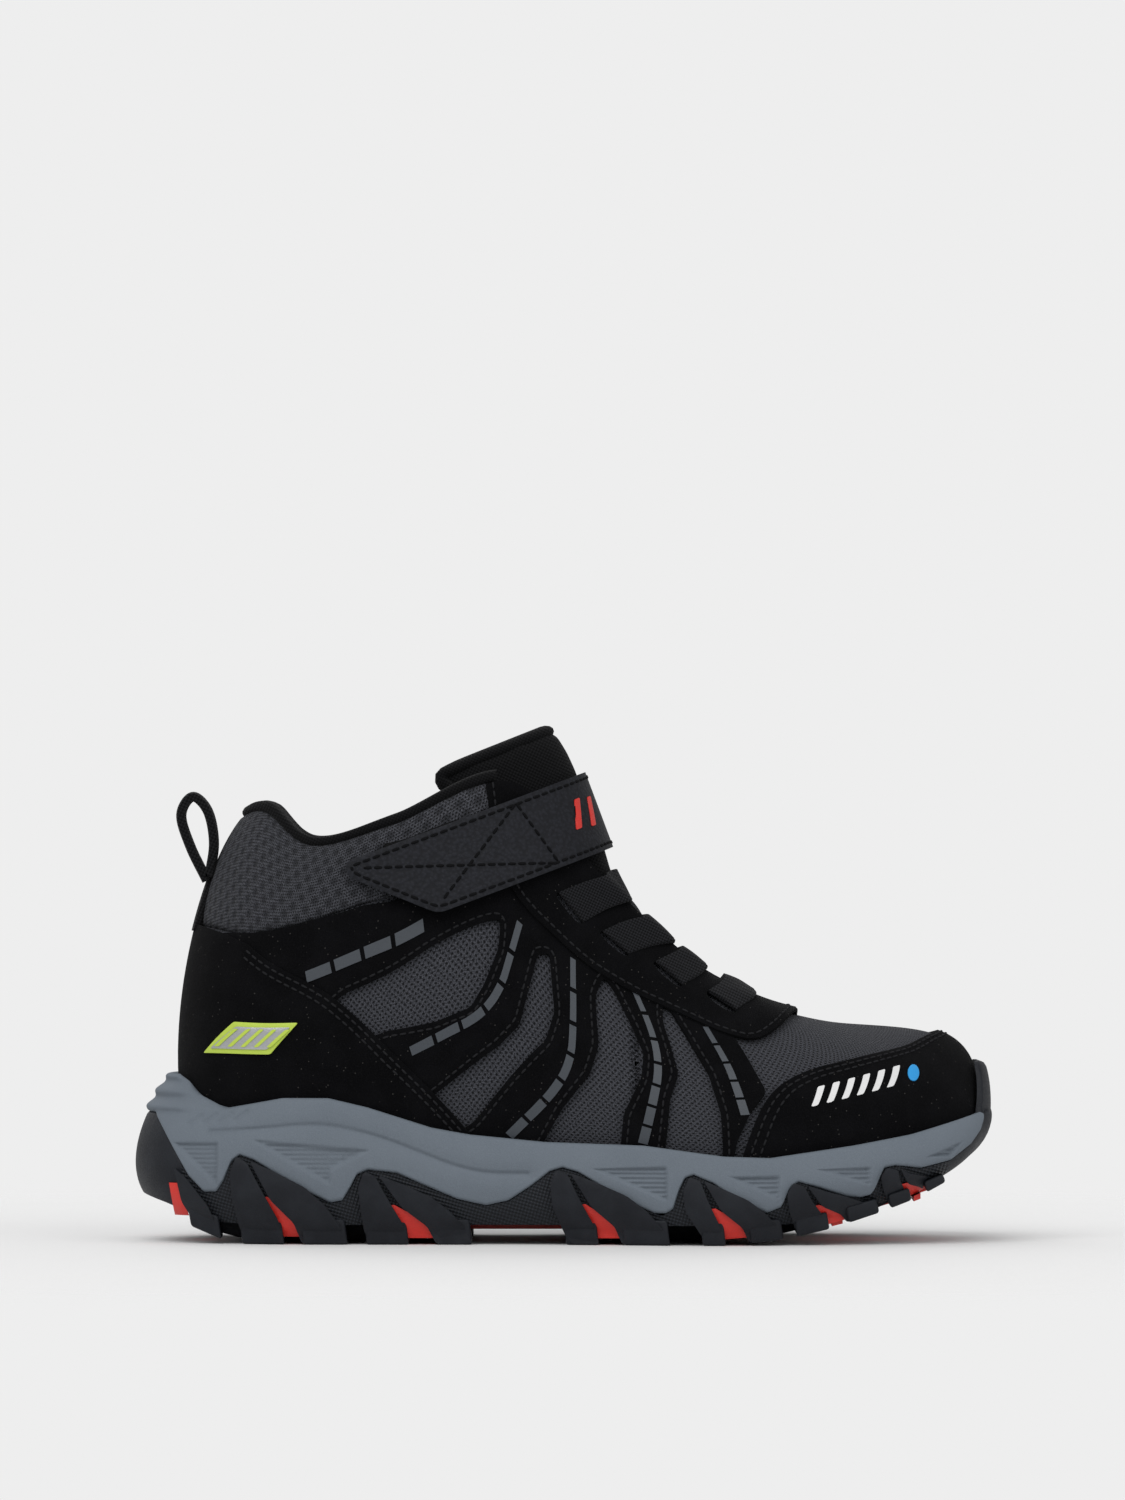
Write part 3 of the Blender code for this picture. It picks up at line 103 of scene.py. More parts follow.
# The sole's side wall: ten ribs of three points, tread edge, widest point, shoulder; the rim ends it.
SOLE_RIBS = np.array([
    [(-103, 0, 6), (-120, 0, 14), (-111, 0, 34)],
    [(-96, 19, 4), (-110, 26, 12), (-102, 25, 31)],
    [(-76, 29, 2.6), (-79, 37, 9), (-77, 36, 28)],
    [(-48, 31, 2.6), (-49, 38, 9), (-49, 37, 26)],
    [(-20, 31.5, 4), (-20, 37, 9), (-20, 37.5, 20)],
    [(10, 34, 3.6), (10, 40, 8), (10, 40, 18)],
    [(42, 39.5, 2.6), (42, 45, 7), (42.5, 44.5, 16)],
    [(80, 35, 10), (83, 42, 15), (83, 41.5, 22)],
    [(99, 22, 17), (107, 28, 22), (107.5, 28, 28)],
    [(103, 0, 21), (112.5, 0, 25), (113.5, 0, 33)],
], float)

# Where the grey midsole meets the dark rubber wrap in side view, (x, z): crests and troughs.
WAVE_LINE = np.array([(-107, 34), (-102.8, 26.7), (-97.5, 17.5), (-93.7, 13.7), (-90.4, 13.8),
                      (-88.4, 16.8), (-86.3, 21.7), (-84.2, 23.4), (-80.5, 22.1), (-73.8, 18),
                      (-65.6, 13.4), (-60.5, 11.1), (-57.3, 11.7), (-55.2, 15.1), (-53.5, 18.4),
                      (-50.6, 19.6), (-43.1, 18.8), (-35.7, 15.5), (-27.3, 12), (-19.9, 10.4),
                      (-14.1, 11.7), (-8.3, 15.5), (-3.3, 19.3), (0, 20.3), (4.2, 19), (11.9, 14.3),
                      (19.5, 10.2), (25.7, 7.8), (28.7, 9.7), (30.2, 14.3), (31.8, 17.7), (34, 18.5),
                      (39.3, 16.2), (45.5, 11.7), (53.1, 8.6), (57, 10.2), (58.9, 14.7),
                      (61.2, 16.7), (66.9, 15.1), (73.7, 12.8), (79.9, 12.4), (81.4, 15.1),
                      (83.7, 20.1), (86.7, 20.8), (93.6, 20.1), (101.3, 21.9), (106.6, 25.8),
                      (109.3, 29.2), (112, 36)], float)

# Height of the tread's contact line in side view, (x, z): bevelled heel, flat, arch, toe spring.
GROUND_LINE = np.array([(-110, 12), (-104, 7.5), (-98, 5), (-89, 1.2), (-83, 0), (-36, 0), (-23, 0),
                        (0, 0), (43, 0), (58, 1.6), (70, 4.4), (83, 8.6), (92, 12), (100, 16.2),
                        (106.5, 20.5), (112, 27)], float)

# Top of the outsole plate in side view, (x, z).
PLATE_LINE = np.array([(-112, 15.5), (-104, 13), (-96, 10), (-88, 8), (-80, 7.6), (0, 7.6), (50, 7.6),
                       (60, 8), (70, 9.8), (80, 12.3), (90, 15.4), (100, 19.2), (106, 22.5),
                       (112, 27)], float)

# Toe bumper: its top, the loop position where it rises and over how much, how far its face stands
# outside the sole's wall, and how far the midsole's face draws back behind it.
BUMPER_TOP, BUMPER_START, BUMPER_RUN, BUMPER_OUT, BUMPER_INSET = 44.5, 0.925, 0.04, 0.4, 1.3

# Tread claws in side view: (crest x, crest z, rear fin foot x0, x1, front fin foot x0, x1).
CLAWS = [(-84.5, 22, -83.5, -72.5, -67.5, -56),
         (-51, 18.2, -51, -40, -32.5, -23.5),
         (-1, 18.8, 1, 9.5, 16, 28),
         (33.5, 17, 36.5, 42.5, 49, 57.5),
         (60.5, 15.4, 61, 69.5, 74.5, 82.5),
         (85, 19.2, 85.5, 91, 95, 100)]
HEEL_FIN = (-98, 17, -97, -89)       # the lone fin behind the first claw: top x, top z, foot x0, x1

# ---------------------------------------------------------------- outlines in side view, (x, z)
COLLAR_SEAM = np.array([(-93.5, 83), (-82, 80.8), (-66.4, 84.2), (-52.2, 89), (-30, 95), (-12, 99)],
                       float)
HEEL_EDGE = [(-81.3, 77.7), (-65.6, 68.7), (-55.2, 61.2), (-40.2, 46.2), (-29.8, 35.8), (-22.5, 27.6)]
EYESTAY_EDGE = [(-20.3, 119.5), (-18.5, 106), (-13.3, 89.6), (1.6, 76.1), (16.6, 65.7), (31.5, 59),
                (43.5, 53.7), (50.5, 52.0)]
TOE_CAP_EDGE = [(46.6, 21.6), (47.3, 25), (50.8, 34.3), (55, 40.2), (60.6, 43.6), (67.4, 46),
                (80.8, 48.9), (93, 52.2)]
TOE_CAP_TIP_X = 99.5                 # where the toe cap's edge crosses the centreline
EMBLEM_OUTLINE = [(-92, 49.6), (-84.5, 57.8), (-68.5, 57.8), (-75.5, 49.6)]
EYESTAY_FRONT_X = 61.6               # where the eyestay's rounded front crosses the centreline
LOOP_PATCH_OUTLINE = [(-49, 93), (-46.5, 104), (-27, 110.5), (-23, 100.0)]

# Tongue centre line in side view, (x, z), from its sewn root to its top, and its section along it:
# how far each side reaches from the centre, how far it bows back, and half its angle in degrees.
TONGUE_LINE = np.array([(62, 52.5), (54, 56.2), (46, 61.4), (36.6, 67.7), (27.2, 75), (19.2, 85),
                        (13.4, 94), (9.4, 107), (5.2, 118), (1.8, 127), (-2.8, 134.9)], float)
TONGUE_LENGTH = 128.0
TONGUE_REACH = [4.0, 5.0, 6.2, 9.0, 10.6, 11.6, 12.2, 13.0, 13.8, 13.6, 12.8]
TONGUE_BOW = [2.0, 3.0, 5.0, 8.0, 10.0, 11.5, 13.0, 17.0, 27.0, 36.0, 40.0]
TONGUE_CURL = [50, 50, 50, 52, 54, 56, 60, 68, 78, 82, 82]

# Elastic laces, top row first: the outer slit's centre and its length along the throat in side view,
# (x, z), and where the lace crosses the tongue, as a share of the tongue's line.
LACES = [((1.5, 87.2), (5.2, -6.4), 0.585), ((13.2, 77.8), (5.6, -4.9), 0.455),
         ((27.1, 69.5), (5.8, -5.0), 0.355), ((41.2, 62.0), (6.2, -4.0), 0.235)]

# Strap band: centre of its front, its tilt, and arc lengths of its ends and fold lines.
STRAP_FRONT = (8.2, 112.7)
STRAP_TILT = math.radians(20.5)
STRAP_TIP, STRAP_CORNER = -81.2, -62.7
STRAP_PEEL_AT, STRAP_OPEN_AT, STRAP_SEWN_END = -34.0, 40.0, 58.0
STRAP_LEAN = -0.135                  # how far the band leans in over each mm across it

# Half of the strap's path seen from above its band: (back along the strap, out from the centreline).
STRAP_PATH = np.array([(0, 0), (-0.8, 6), (-3.0, 11.9), (-6.8, 17.2), (-12, 21.7), (-18, 24.8),
                       (-24, 26.9), (-30, 28.4), (-36, 29.4), (-42, 30.2), (-48, 31.0), (-54, 31.6),
                       (-60, 32.0), (-68, 32.3)], float)

U_SPAN, V_SPAN = 245.0, 80.0         # about the size of the chart in mm, so its triangles come out even


# ---------------------------------------------------------------- surfaces of the boot
def catmull(rows, t, mirrored=False):
    """Catmull-Rom curve through rows (K, ..., 3) at t in 0..1; mirrored reflects w at both ends."""
    rows = np.asarray(rows, float)
    first, last = rows[1].copy(), rows[-2].copy()
    if mirrored:
        first[..., 1] *= -1
        last[..., 1] *= -1
    else:
        first, last = 2 * rows[0] - rows[1], 2 * rows[-1] - rows[-2]
    padded = np.concatenate([[first], rows, [last]])
    place = np.clip(np.asarray(t, float), 0, 1) * (len(rows) - 1)
    i = np.minimum(place.astype(int), len(rows) - 2)
    f = (place - i).reshape((-1,) + (1,) * (rows.ndim - 1))
    a, b, c, d = (padded[i + k] for k in range(4))
    return 0.5 * (2 * b + (c - a) * f + (2 * a - 5 * b + 4 * c - d) * f ** 2
                  + (3 * b - a - 3 * c + d) * f ** 3)


def bezier(controls, v):
    """Cubic Bezier of controls (n, 4, 3) at v (n,)."""
    v = np.asarray(v, float)[:, None]
    a, b, c, d = (controls[:, k] for k in range(4))
    return a * (1 - v) ** 3 + 3 * b * v * (1 - v) ** 2 + 3 * c * v ** 2 * (1 - v) + d * v ** 3


def along(line, x):
    """Height of a side-view line at x."""
    return np.interp(x, line[:, 0], line[:, 1])


def raw_upper(u, v):
    return bezier(catmull(UPPER_RIBS, u, mirrored=True), v)


def with_normals(surface, u, v):
    """Points and outward unit normals of surface(u, v) in (x, w, z)."""
    step = 1e-3
    u, v = np.broadcast_arrays(np.asarray(u, float), np.asarray(v, float))
    u, v = u.ravel(), v.ravel()
    du = surface(np.minimum(u + step, 1), v) - surface(np.maximum(u - step, 0), v)
    dv = surface(u, v + step) - surface(u, v - step)
    du[u <= step, 0] = 0
    du[u <= step, 2] = 0
    du[u >= 1 - step, 0] = 0
    du[u >= 1 - step, 2] = 0
    normal = np.cross(dv, du)
    return surface(u, v), normal / np.linalg.norm(normal, axis=1)[:, None]


def upper(u, v, depth=0.0):
    """The upper's reference surface, moved outwards by depth."""
    points, normals = with_normals(raw_upper, u, v)
    return points + normals * np.asarray(depth, float).reshape(-1, 1)


def side_view(u, v):
    """The upper's reference surface in side view, (x, z)."""
    return raw_upper(u, v)[:, [0, 2]]


def chart(points):
    """(u, v) on the upper of side-view points (x, z): the nearest of a grid of samples, then Newton
    steps where they come closer."""
    us, vs = np.meshgrid(np.linspace(0, 1, 181), np.linspace(0, 1, 61), indexing="ij")
    table = side_view(us.ravel(), vs.ravel())
    found = []
    for target in np.asarray(points, float):
        away = ((table - target) ** 2).sum(1)
        near = np.argmin(away)
        start = np.array([us.ravel()[near], vs.ravel()[near]])
        uv, step = start, 1e-4
        for _ in range(6):
            here, over, up = side_view(np.array([uv[0], uv[0] + step, uv[0]]),
                                       np.array([uv[1], uv[1], uv[1] + step]))
            slope = np.array([(over - here) / step, (up - here) / step]).T
            if abs(np.linalg.det(slope)) < 1e-3:
                break
            uv = np.clip(uv + np.linalg.solve(slope, target - here), [0.001, 0], [0.999, 1])
        end = side_view(uv[:1], uv[1:])[0]
        found.append(uv if ((end - target) ** 2).sum() < away[near] else start)
    return np.array(found)


def v_at_height(u, target):
    """v where the rib at u reaches a height: a side-view line, or one height for each u."""
    low, high = np.zeros(len(u)), np.ones(len(u))
    for _ in range(30):
        middle = (low + high) / 2
        point = raw_upper(u, middle)
        goal = along(target, point[:, 0]) if np.ndim(target) == 2 else target
        above = point[:, 2] > goal
        high = np.where(above, middle, high)
        low = np.where(above, low, middle)
    return (low + high) / 2


def centre_v(x):
    """v at which the toe's centreline reaches x."""
    vs = np.linspace(0, 1, 400)
    xs = raw_upper(np.ones(400), vs)[:, 0]
    top = np.argmax(xs)
    return float(np.interp(-x, -xs[top:], vs[top:]))


def board_height(x):
    """Height of the lasting edge, on which the insole board lies."""
    edge = catmull(UPPER_RIBS[:, 0], np.linspace(0, 1, 200), mirrored=True)
    return np.interp(x, edge[:, 0], edge[:, 2])


def placed(points, side):
    """Design points (x, w, z) on one side of the centreline, as (x, y, z)."""
    points = np.array(points, float)
    swing = np.clip((points[:, 0] - SWING_START) / SWING_LENGTH, 0, 1)
    points[:, 1] = side * points[:, 1] + TOE_SWING * swing ** 2 * (3 - 2 * swing)
    return points


def around(g):
    """Loop position g, where 0 is the heel, 1 the toe, as (u, side). Negative g is the inner side."""
    g = (np.asarray(g, float) + 1) % 2 - 1
    return np.abs(g), np.where(g >= 0, OUTER, INNER)


def on_loop(surface, g, v, depth=0.0):
    """surface(u, v, depth) at loop positions g, already placed."""
    g, v, depth = np.broadcast_arrays(np.asarray(g, float), v, depth)
    u, side = around(g.ravel())
    return placed(surface(u, v.ravel(), depth.ravel()), side)


def rim(u, out):
    """Points on the midsole rim's top edge, out from the upper."""
    u = np.asarray(u, float)
    points = upper(u, v_at_height(u, RIM_LINE), out)
    points[:, 2] = along(RIM_LINE, points[:, 0])
    return points


def raw_sole(u, h):
    """The sole's wall; above h = 1 it goes on up the toe, 10 mm for each 1 of h."""
    controls = catmull(SOLE_RIBS, u, mirrored=True)
    top = rim(u, RIM_GAP + RIM_THICK)
    points = bezier(np.concatenate([controls, top[:, None]], axis=1), np.minimum(h, 1))
    high = top[:, 2] + (np.maximum(h, 1) - 1) * 10
    beyond = upper(u, v_at_height(u, high), RIM_GAP + RIM_THICK)
    return np.where((h > 1)[:, None], beyond, points)


def sole(u, h, depth=0.0):
    """The sole's side wall, h from 0 at the tread edge to 1 at the rim."""
    points, normals = with_normals(raw_sole, u, np.broadcast_to(h, np.shape(u)))
    normals[:, 2] = 0
    normals /= np.linalg.norm(normals, axis=1)[:, None]
    return points + normals * np.asarray(depth, float).reshape(-1, 1)


def bumper(u):
    """0 along the sides, 1 where the toe bumper stands."""
    t = np.clip((np.asarray(u, float) - BUMPER_START) / BUMPER_RUN, 0, 1)
    return t * t * (3 - 2 * t)


def ground(x):
    return float(along(GROUND_LINE, x))


def plate_top(x):
    return along(PLATE_LINE, x)


def resampled(loop, spacing, closed=True):
    """Points along a polyline no further apart than spacing, corners kept."""
    loop = np.asarray(loop, float)
    ends = np.roll(loop, -1, axis=0) if closed else loop[1:]
    out = []
    for a, b in zip(loop, ends):
        n = max(1, math.ceil(np.linalg.norm(b - a) / spacing))
        out.extend(a + (b - a) * k / n for k in range(n))
    if not closed:
        out.append(loop[-1])
    return np.array(out)


def inside(points, loop):
    """Even-odd test of 2-D points against a closed loop."""
    x, y = points[:, 0], points[:, 1]
    result = np.zeros(len(points), bool)
    for (x0, y0), (x1, y1) in zip(loop, np.roll(loop, -1, axis=0)):
        if y0 == y1:
            continue
        crosses = ((y0 > y) != (y1 > y)) & (x < (x1 - x0) * (y - y0) / (y1 - y0) + x0)
        result ^= crosses
    return result


def fill(outline, holes, spacing):
    """Triangles of a 2-D outline with holes, with inner points about spacing apart."""
    loops = [resampled(outline, spacing)] + [resampled(h, spacing) for h in holes]
    low, high = loops[0].min(0), loops[0].max(0)
    row = spacing * math.sqrt(3) / 2
    grid = [(x + (k % 2) * spacing / 2, y)
            for k, y in enumerate(np.arange(low[1] + row / 2, high[1], row))
            for x in np.arange(low[0], high[0], spacing)]
    grid = np.array(grid) if grid else np.zeros((0, 2))
    keep = inside(grid, loops[0]) if len(grid) else np.zeros(0, bool)
    for hole in loops[1:]:
        keep &= ~inside(grid, hole)
    border = np.concatenate(loops)
    if len(grid):
        apart = np.sqrt(((grid[:, None] - border[None]) ** 2).sum(2)).min(1)
        keep &= apart > spacing * 0.55
        grid = grid[keep]
    edges, start = [], 0
    for loop in loops:
        edges += [(start + k, start + (k + 1) % len(loop)) for k in range(len(loop))]
        start += len(loop)
    points = np.concatenate([border, grid])
    made = delaunay_2d_cdt([tuple(p) for p in points], edges, [], 0, 1e-6)
    verts, faces = np.array([tuple(v) for v in made[0]]), np.array(made[2])
    centres = verts[faces].mean(1)
    keep = inside(centres, loops[0])
    for hole in loops[1:]:
        keep &= ~inside(centres, hole)
    return verts, faces[keep]


def side_chart(line, side):
    """Side-view points as chart points (g, v), on the outer or the inner side."""
    uv = chart(line)
    if side == INNER:
        uv[:, 0] *= -1
    return uv


def both_sides(edge, middle_v):
    """A chart outline from one side's edge, over the toe's centreline, to its mirror image."""
    other = np.stack([2 - edge[::-1, 0], edge[::-1, 1]], 1)
    return [tuple(p) for p in edge] + [(1.0, middle_v)] + [tuple(p) for p in other]


def ring_points(count):
    """Loop positions of a ring: heel, outer side, toe, inner side."""
    return np.linspace(0, 2, 2 * count, endpoint=False)


def lasting_ring(g, inset, dz):
    """A ring inside the upper's lasting edge, inset from it and dz above the board's height."""
    u, side = around(g)
    points = upper(u, np.zeros(len(u)), -inset)
    points[:, 2] = board_height(points[:, 0]) + dz
    return placed(points, side)


def lining_depth(u, v):
    """How deep the lining lies: deep behind the padded collar, shallow elsewhere."""
    padded = np.clip((0.47 - u) / 0.07, 0, 1) * np.clip((v - 0.52) / 0.2, 0, 1)
    smooth = padded * padded * (3 - 2 * padded)
    return -(LINING_DEPTH + (COLLAR_DEPTH - LINING_DEPTH) * smooth)


def eyestay_outline():
    """The eyestay's outline in the chart: its side edges, a rounded front, and the throat's edge."""
    side_edge = chart(EYESTAY_EDGE)
    corner = raw_upper(side_edge[-1:, 0], side_edge[-1:, 1])[0]
    u = np.linspace(side_edge[-1, 0], 1, 9)[1:-1]
    low, high = np.zeros(len(u)), np.ones(len(u))
    for _ in range(30):
        middle = (low + high) / 2
        point = raw_upper(u, middle)
        ahead = np.maximum(point[:, 0] - corner[0], 0) / (EYESTAY_FRONT_X - corner[0])
        outside = ahead ** 2 + (point[:, 1] / corner[1]) ** 2 > 1
        low, high = np.where(outside, middle, low), np.where(outside, high, middle)
    edge = np.concatenate([side_edge, np.stack([u, low], 1)])
    start = edge[0][0]
    throat = [(g, THROAT_V) for g in np.linspace(2 - start - 0.012, start + 0.012, THROAT_POINTS)]
    return both_sides(edge, centre_v(EYESTAY_FRONT_X)) + throat


def tongue_table(table, r):
    return np.interp(r, np.linspace(0, 1, len(table)), table)


def tongue_frame(r):
    """Centre point and forward normal of the tongue line at r in 0..1, in side view."""
    r = np.asarray(r, float)
    line = np.insert(TONGUE_LINE, 1, 0.0, axis=1)
    point = catmull(line, r)
    tangent = catmull(line, np.minimum(r + 0.01, 1)) - catmull(line, np.maximum(r - 0.01, 0))
    tangent /= np.linalg.norm(tangent, axis=1)[:, None]
    normal = np.stack([tangent[:, 2], np.zeros(len(r)), -tangent[:, 0]], 1)
    share = np.clip((r - 0.62) / 0.2, 0, 1)[:, None]
    normal = normal * (1 - share) + np.array([0.93, 0, 0.37]) * share
    return point, normal / np.linalg.norm(normal, axis=1)[:, None]


def tongue_surface(r, t, height):
    """A point on the arched tongue: r along it, t across from -1 to 1, height out from its face."""
    r, t, height = np.broadcast_arrays(np.asarray(r, float), t, height)
    r, t, height = r.ravel(), t.ravel(), height.ravel()
    point, normal = tongue_frame(r)
    curl = np.radians(tongue_table(TONGUE_CURL, r))
    reach = tongue_table(TONGUE_REACH, r) / np.sin(curl)
    bow = tongue_table(TONGUE_BOW, r)
    angle = curl * t
    forward, sideways = reach * np.cos(angle), bow * np.sin(angle)
    size = np.hypot(forward, sideways)
    back = -bow * (1 - np.cos(angle)) + height * forward / size
    out = point + normal * back[:, None]
    out[:, 1] = reach * np.sin(angle) + height * sideways / size
    return out


def throat_crossing(start, end):
    """u at which a side-view line from start to end crosses the throat's edge."""
    us = np.linspace(0.45, 0.98, 500)
    edge = side_view(us, np.ones(500)) - start
    way = np.array(end) - start
    offset = edge[:, 0] * way[1] - edge[:, 1] * way[0]
    return us[np.argmin(np.abs(offset))]


def lace_edge(slit, crest_r, depth_end, depth_edge, depth_crest):
    """One edge of a lace band, from its outer slit over the tongue to its inner slit, as (x, w, z)."""
    u0, v0 = chart([slit])[0]
    crest = tongue_surface(np.array([crest_r]), 0.0, depth_crest)[0]
    shoulder = tongue_surface(np.array([crest_r]), 0.55, depth_crest + 0.6)[0]
    u1 = throat_crossing(np.array(slit), (shoulder[0], shoulder[2]))
    us, vs = np.array([u0, (u0 + u1) / 2, u1]), np.array([v0, (v0 + THROAT_V) / 2, THROAT_V])
    end, middle, edge = upper(us, vs, np.array([depth_end, depth_end + 0.45, depth_edge]))
    mirror = np.array([1, -1, 1])
    half = [end, middle, edge, shoulder]
    knots = np.array(half + [crest] + [p * mirror for p in half[::-1]])
    return catmull(knots, np.linspace(0, 1, 23))


def strap_axes():
    along_strap = np.array([math.cos(STRAP_TILT), 0, math.sin(STRAP_TILT)])
    across = np.array([-math.sin(STRAP_TILT), 0, math.cos(STRAP_TILT)])
    return along_strap, across


def strap_point(s, q, out):
    """A strap point: s round the boot (negative outer side), q across, out from its inner face."""
    s, q, out = np.broadcast_arrays(np.asarray(s, float), q, out)
    s, q, out = s.ravel(), q.ravel(), out.ravel()
    fine = catmull(np.insert(STRAP_PATH, 2, 0.0, axis=1), np.linspace(0, 1, 300))[:, :2]
    length = np.concatenate([[0], np.cumsum(np.linalg.norm(np.diff(fine, axis=0), axis=1))])
    a, w = (np.interp(np.abs(s), length, fine[:, k]) for k in (0, 1))
    a2, w2 = (np.interp(np.abs(s) + 0.5, length, fine[:, k]) for k in (0, 1))
    a1, w1 = (np.interp(np.abs(s) - 0.5, length, fine[:, k]) for k in (0, 1))
    tangent = np.stack([a2 - a1, w2 - w1], 1)
    tangent /= np.linalg.norm(tangent, axis=1)[:, None]
    along_strap, across = strap_axes()
    lean = STRAP_LEAN * np.clip(np.abs(s) / 25, 0, 1)
    a = a + tangent[:, 1] * out
    w = w - tangent[:, 0] * out + lean * q
    base = np.array([STRAP_FRONT[0], 0, STRAP_FRONT[1]])
    points = base + a[:, None] * along_strap + q[:, None] * across
    points[:, 1] = np.where(s < 0, -w, w)
    return placed(points, 1)


# ---------------------------------------------------------------- fine outlines for the looks (mm)
POCKETS = [                          # ribbed triangular pockets in the midsole, (x, z) in side view
    [(-102.3, 26.6), (-89.6, 26.9), (-89.8, 14.8)],
    [(-81.5, 27.6), (-49.8, 24.8), (-60.2, 19.3), (-60.4, 15.4)],
    [(7.4, 20.0), (27.3, 20.9), (27.5, 11.2)],
    [(42.5, 18.2), (56.5, 18.5), (56.3, 11.9)],
    [(65.4, 19.9), (80.2, 20.7), (80.1, 15.4)],
    [(93.8, 22.6), (104.6, 27.0), (101.5, 22.6)],
]
# Wide blocks under the middle of the sole, (x0, x1).
CENTRE_LUGS = [(-92, -81), (-58.5, -48.5), (25.5, 37), (55, 63.5), (80.5, 87), (89.5, 96.5)]

# Grooves moulded in the midsole, (x, z): a long one under the heel's rim, and short ones behind it.
LONG_GROOVE = np.array([(-92.1, 29.3), (-78, 30.2), (-69, 31.2), (-61.4, 31.2), (-53.1, 29.6),
                        (-44.8, 27.1), (-36.5, 23.8), (-28.2, 20.5), (-19.9, 18.6), (-9.1, 18.6)], float)
HEEL_GROOVES = [((x, z), (x + 3, z + 2.2)) for x, z in ((-97.5, 31.2), (-93.5, 31.6), (-89.5, 32.0),
                                                        (-85.5, 32.4))]
CAGE_FINE = [(-90, 80.4), (-82, 80.6), (-66.4, 84.0), (-52.2, 88.2), (-30, 94), (-13.5, 98), (-11, 90),
             (3.6, 77.6), (18.6, 67.2), (33, 60.7), (43.5, 55), (48, 48.2), (53, 39.6), (48.7, 34),
             (45.4, 27), (43.8, 19.6), (20, 20), (0, 21.6), (-23.4, 22.2), (-31, 34), (-41.5, 44.5),
             (-57, 59.5), (-67.5, 67)]
WINDOWS_FINE = [                     # openings between the cage's bars; two run in under the heel cover
    [(-60, 62.5), (-56.9, 65.3), (-34.9, 77.2), (-16.2, 84.5), (-16.7, 77.2), (-20.3, 68), (-24, 61.7),
     (-33.1, 58), (-45.9, 55.7), (-50, 54)],
    [(-36, 37.5), (-32.7, 39.7), (-16.7, 51.6), (-11.2, 57.1), (-8.9, 66.2), (-6.6, 75.4), (-3.4, 75.4),
     (-2.1, 60.7), (-4.3, 53.4), (-13.9, 43.4), (-23.1, 32), (-27, 29.5)],
    [(-5.7, 25.4), (-0.2, 35.2), (7.1, 44.3), (9.4, 51.6), (8.4, 64.4), (10.6, 69.4), (13.3, 66.2),
     (17.9, 57.1), (21.1, 49.8), (20.6, 43.4), (16.1, 34.2), (15.2, 24.0)],
    [(26.6, 23.6), (28, 37.9), (30.2, 44.3), (28, 51.6), (26.1, 57.1), (25.7, 61.7), (28, 60.7),
     (32.5, 53.4), (38, 44.3), (41.2, 34.2), (41.7, 22.0)],
]
REFLECTIVE = [                       # dash lines on the cage's bars: path (x, z), widths, dashes
    ([(-67.1, 69.4), (-51, 76.4), (-35.7, 83.4)], (2.8, 3.0), 4),
    ([(-11.2, 84.2), (-13.3, 76.5), (-16.3, 66.0), (-21.8, 59.2), (-30.5, 55.0), (-40, 50.2)],
     (1.5, 2.4), 6),
    ([(2.4, 74.7), (2.8, 58.2), (2.2, 47.3), (-2.9, 38.8), (-14.1, 28.3)], (1.4, 2.4), 7),
    ([(18.0, 66.7), (23.3, 55.2), (25.3, 45.8), (23.6, 36.8), (21.1, 26.3)], (1.4, 2.2), 7),
    ([(36.8, 56.2), (42.5, 47.3), (45.5, 39.8), (47.6, 33.3)], (1.5, 1.8), 5),
]
STRAP_MARKS = [(-16.5, 1.0), (-10.0, 0.4)]     # two plain bars on the strap: (s, q) of their middles
TOE_BARS = [(66.5, 38.2), (70.4, 39.1), (74.3, 40.0), (78.2, 40.9), (82.1, 41.8), (86.0, 42.7)]
TOE_DOT = (91.2, 43.6)


# ---------------------------------------------------------------- mesh helpers
def chaikin(loop, rounds=3, closed=True):
    """A loop or a line with its corners rounded by corner cutting."""
    points = np.asarray(loop, float)
    for _ in range(rounds):
        ahead = np.roll(points, -1, axis=0) if closed else points[1:]
        here = points if closed else points[:-1]
        cut = np.stack([here * 0.75 + ahead * 0.25, here * 0.25 + ahead * 0.75], 1)
        cut = cut.reshape(-1, points.shape[1])
        points = cut if closed else np.concatenate([points[:1], cut, points[-1:]])
    return points


def add_mesh(name, points, faces, look, body, slot, uv=None, replaces=(), ride=True):
    """A piece from points in design millimetres, with an optional UV for each point."""
    shifted = (np.asarray(points, float) - np.array(CENTRE_SHIFT)) * MM
    mesh = bpy.data.meshes.new(name)
    mesh.from_pydata(shifted.tolist(), [], [tuple(int(i) for i in f) for f in faces])
    if uv is not None:
        layer = mesh.uv_layers.new(name="weave")
        index = np.zeros(len(mesh.loops), np.int32)
        mesh.loops.foreach_get("vertex_index", index)
        layer.uv.foreach_set("vector", np.asarray(uv, np.float32)[index].ravel())
    mesh.materials.append(look)
    mesh.shade_smooth()
    obj = bpy.data.objects.new(name, mesh)
    bpy.context.scene.collection.objects.link(obj)
    if ride:
        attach(obj, body)
    if replaces:
        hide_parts(*replaces)
    return obj


def grid_quads(n, m, wrap_n=False, wrap_m=False):
    """Quads of an n by m grid of points, joined round where wrapped."""
    i = np.arange(n if wrap_n else n - 1)[:, None]
    j = np.arange(m if wrap_m else m - 1)[None]
    a = i * m + j
    b = ((i + 1) % n) * m + j
    c = ((i + 1) % n) * m + (j + 1) % m
    d = i * m + (j + 1) % m
    return np.stack([a, b, c, d], -1).reshape(-1, 4)


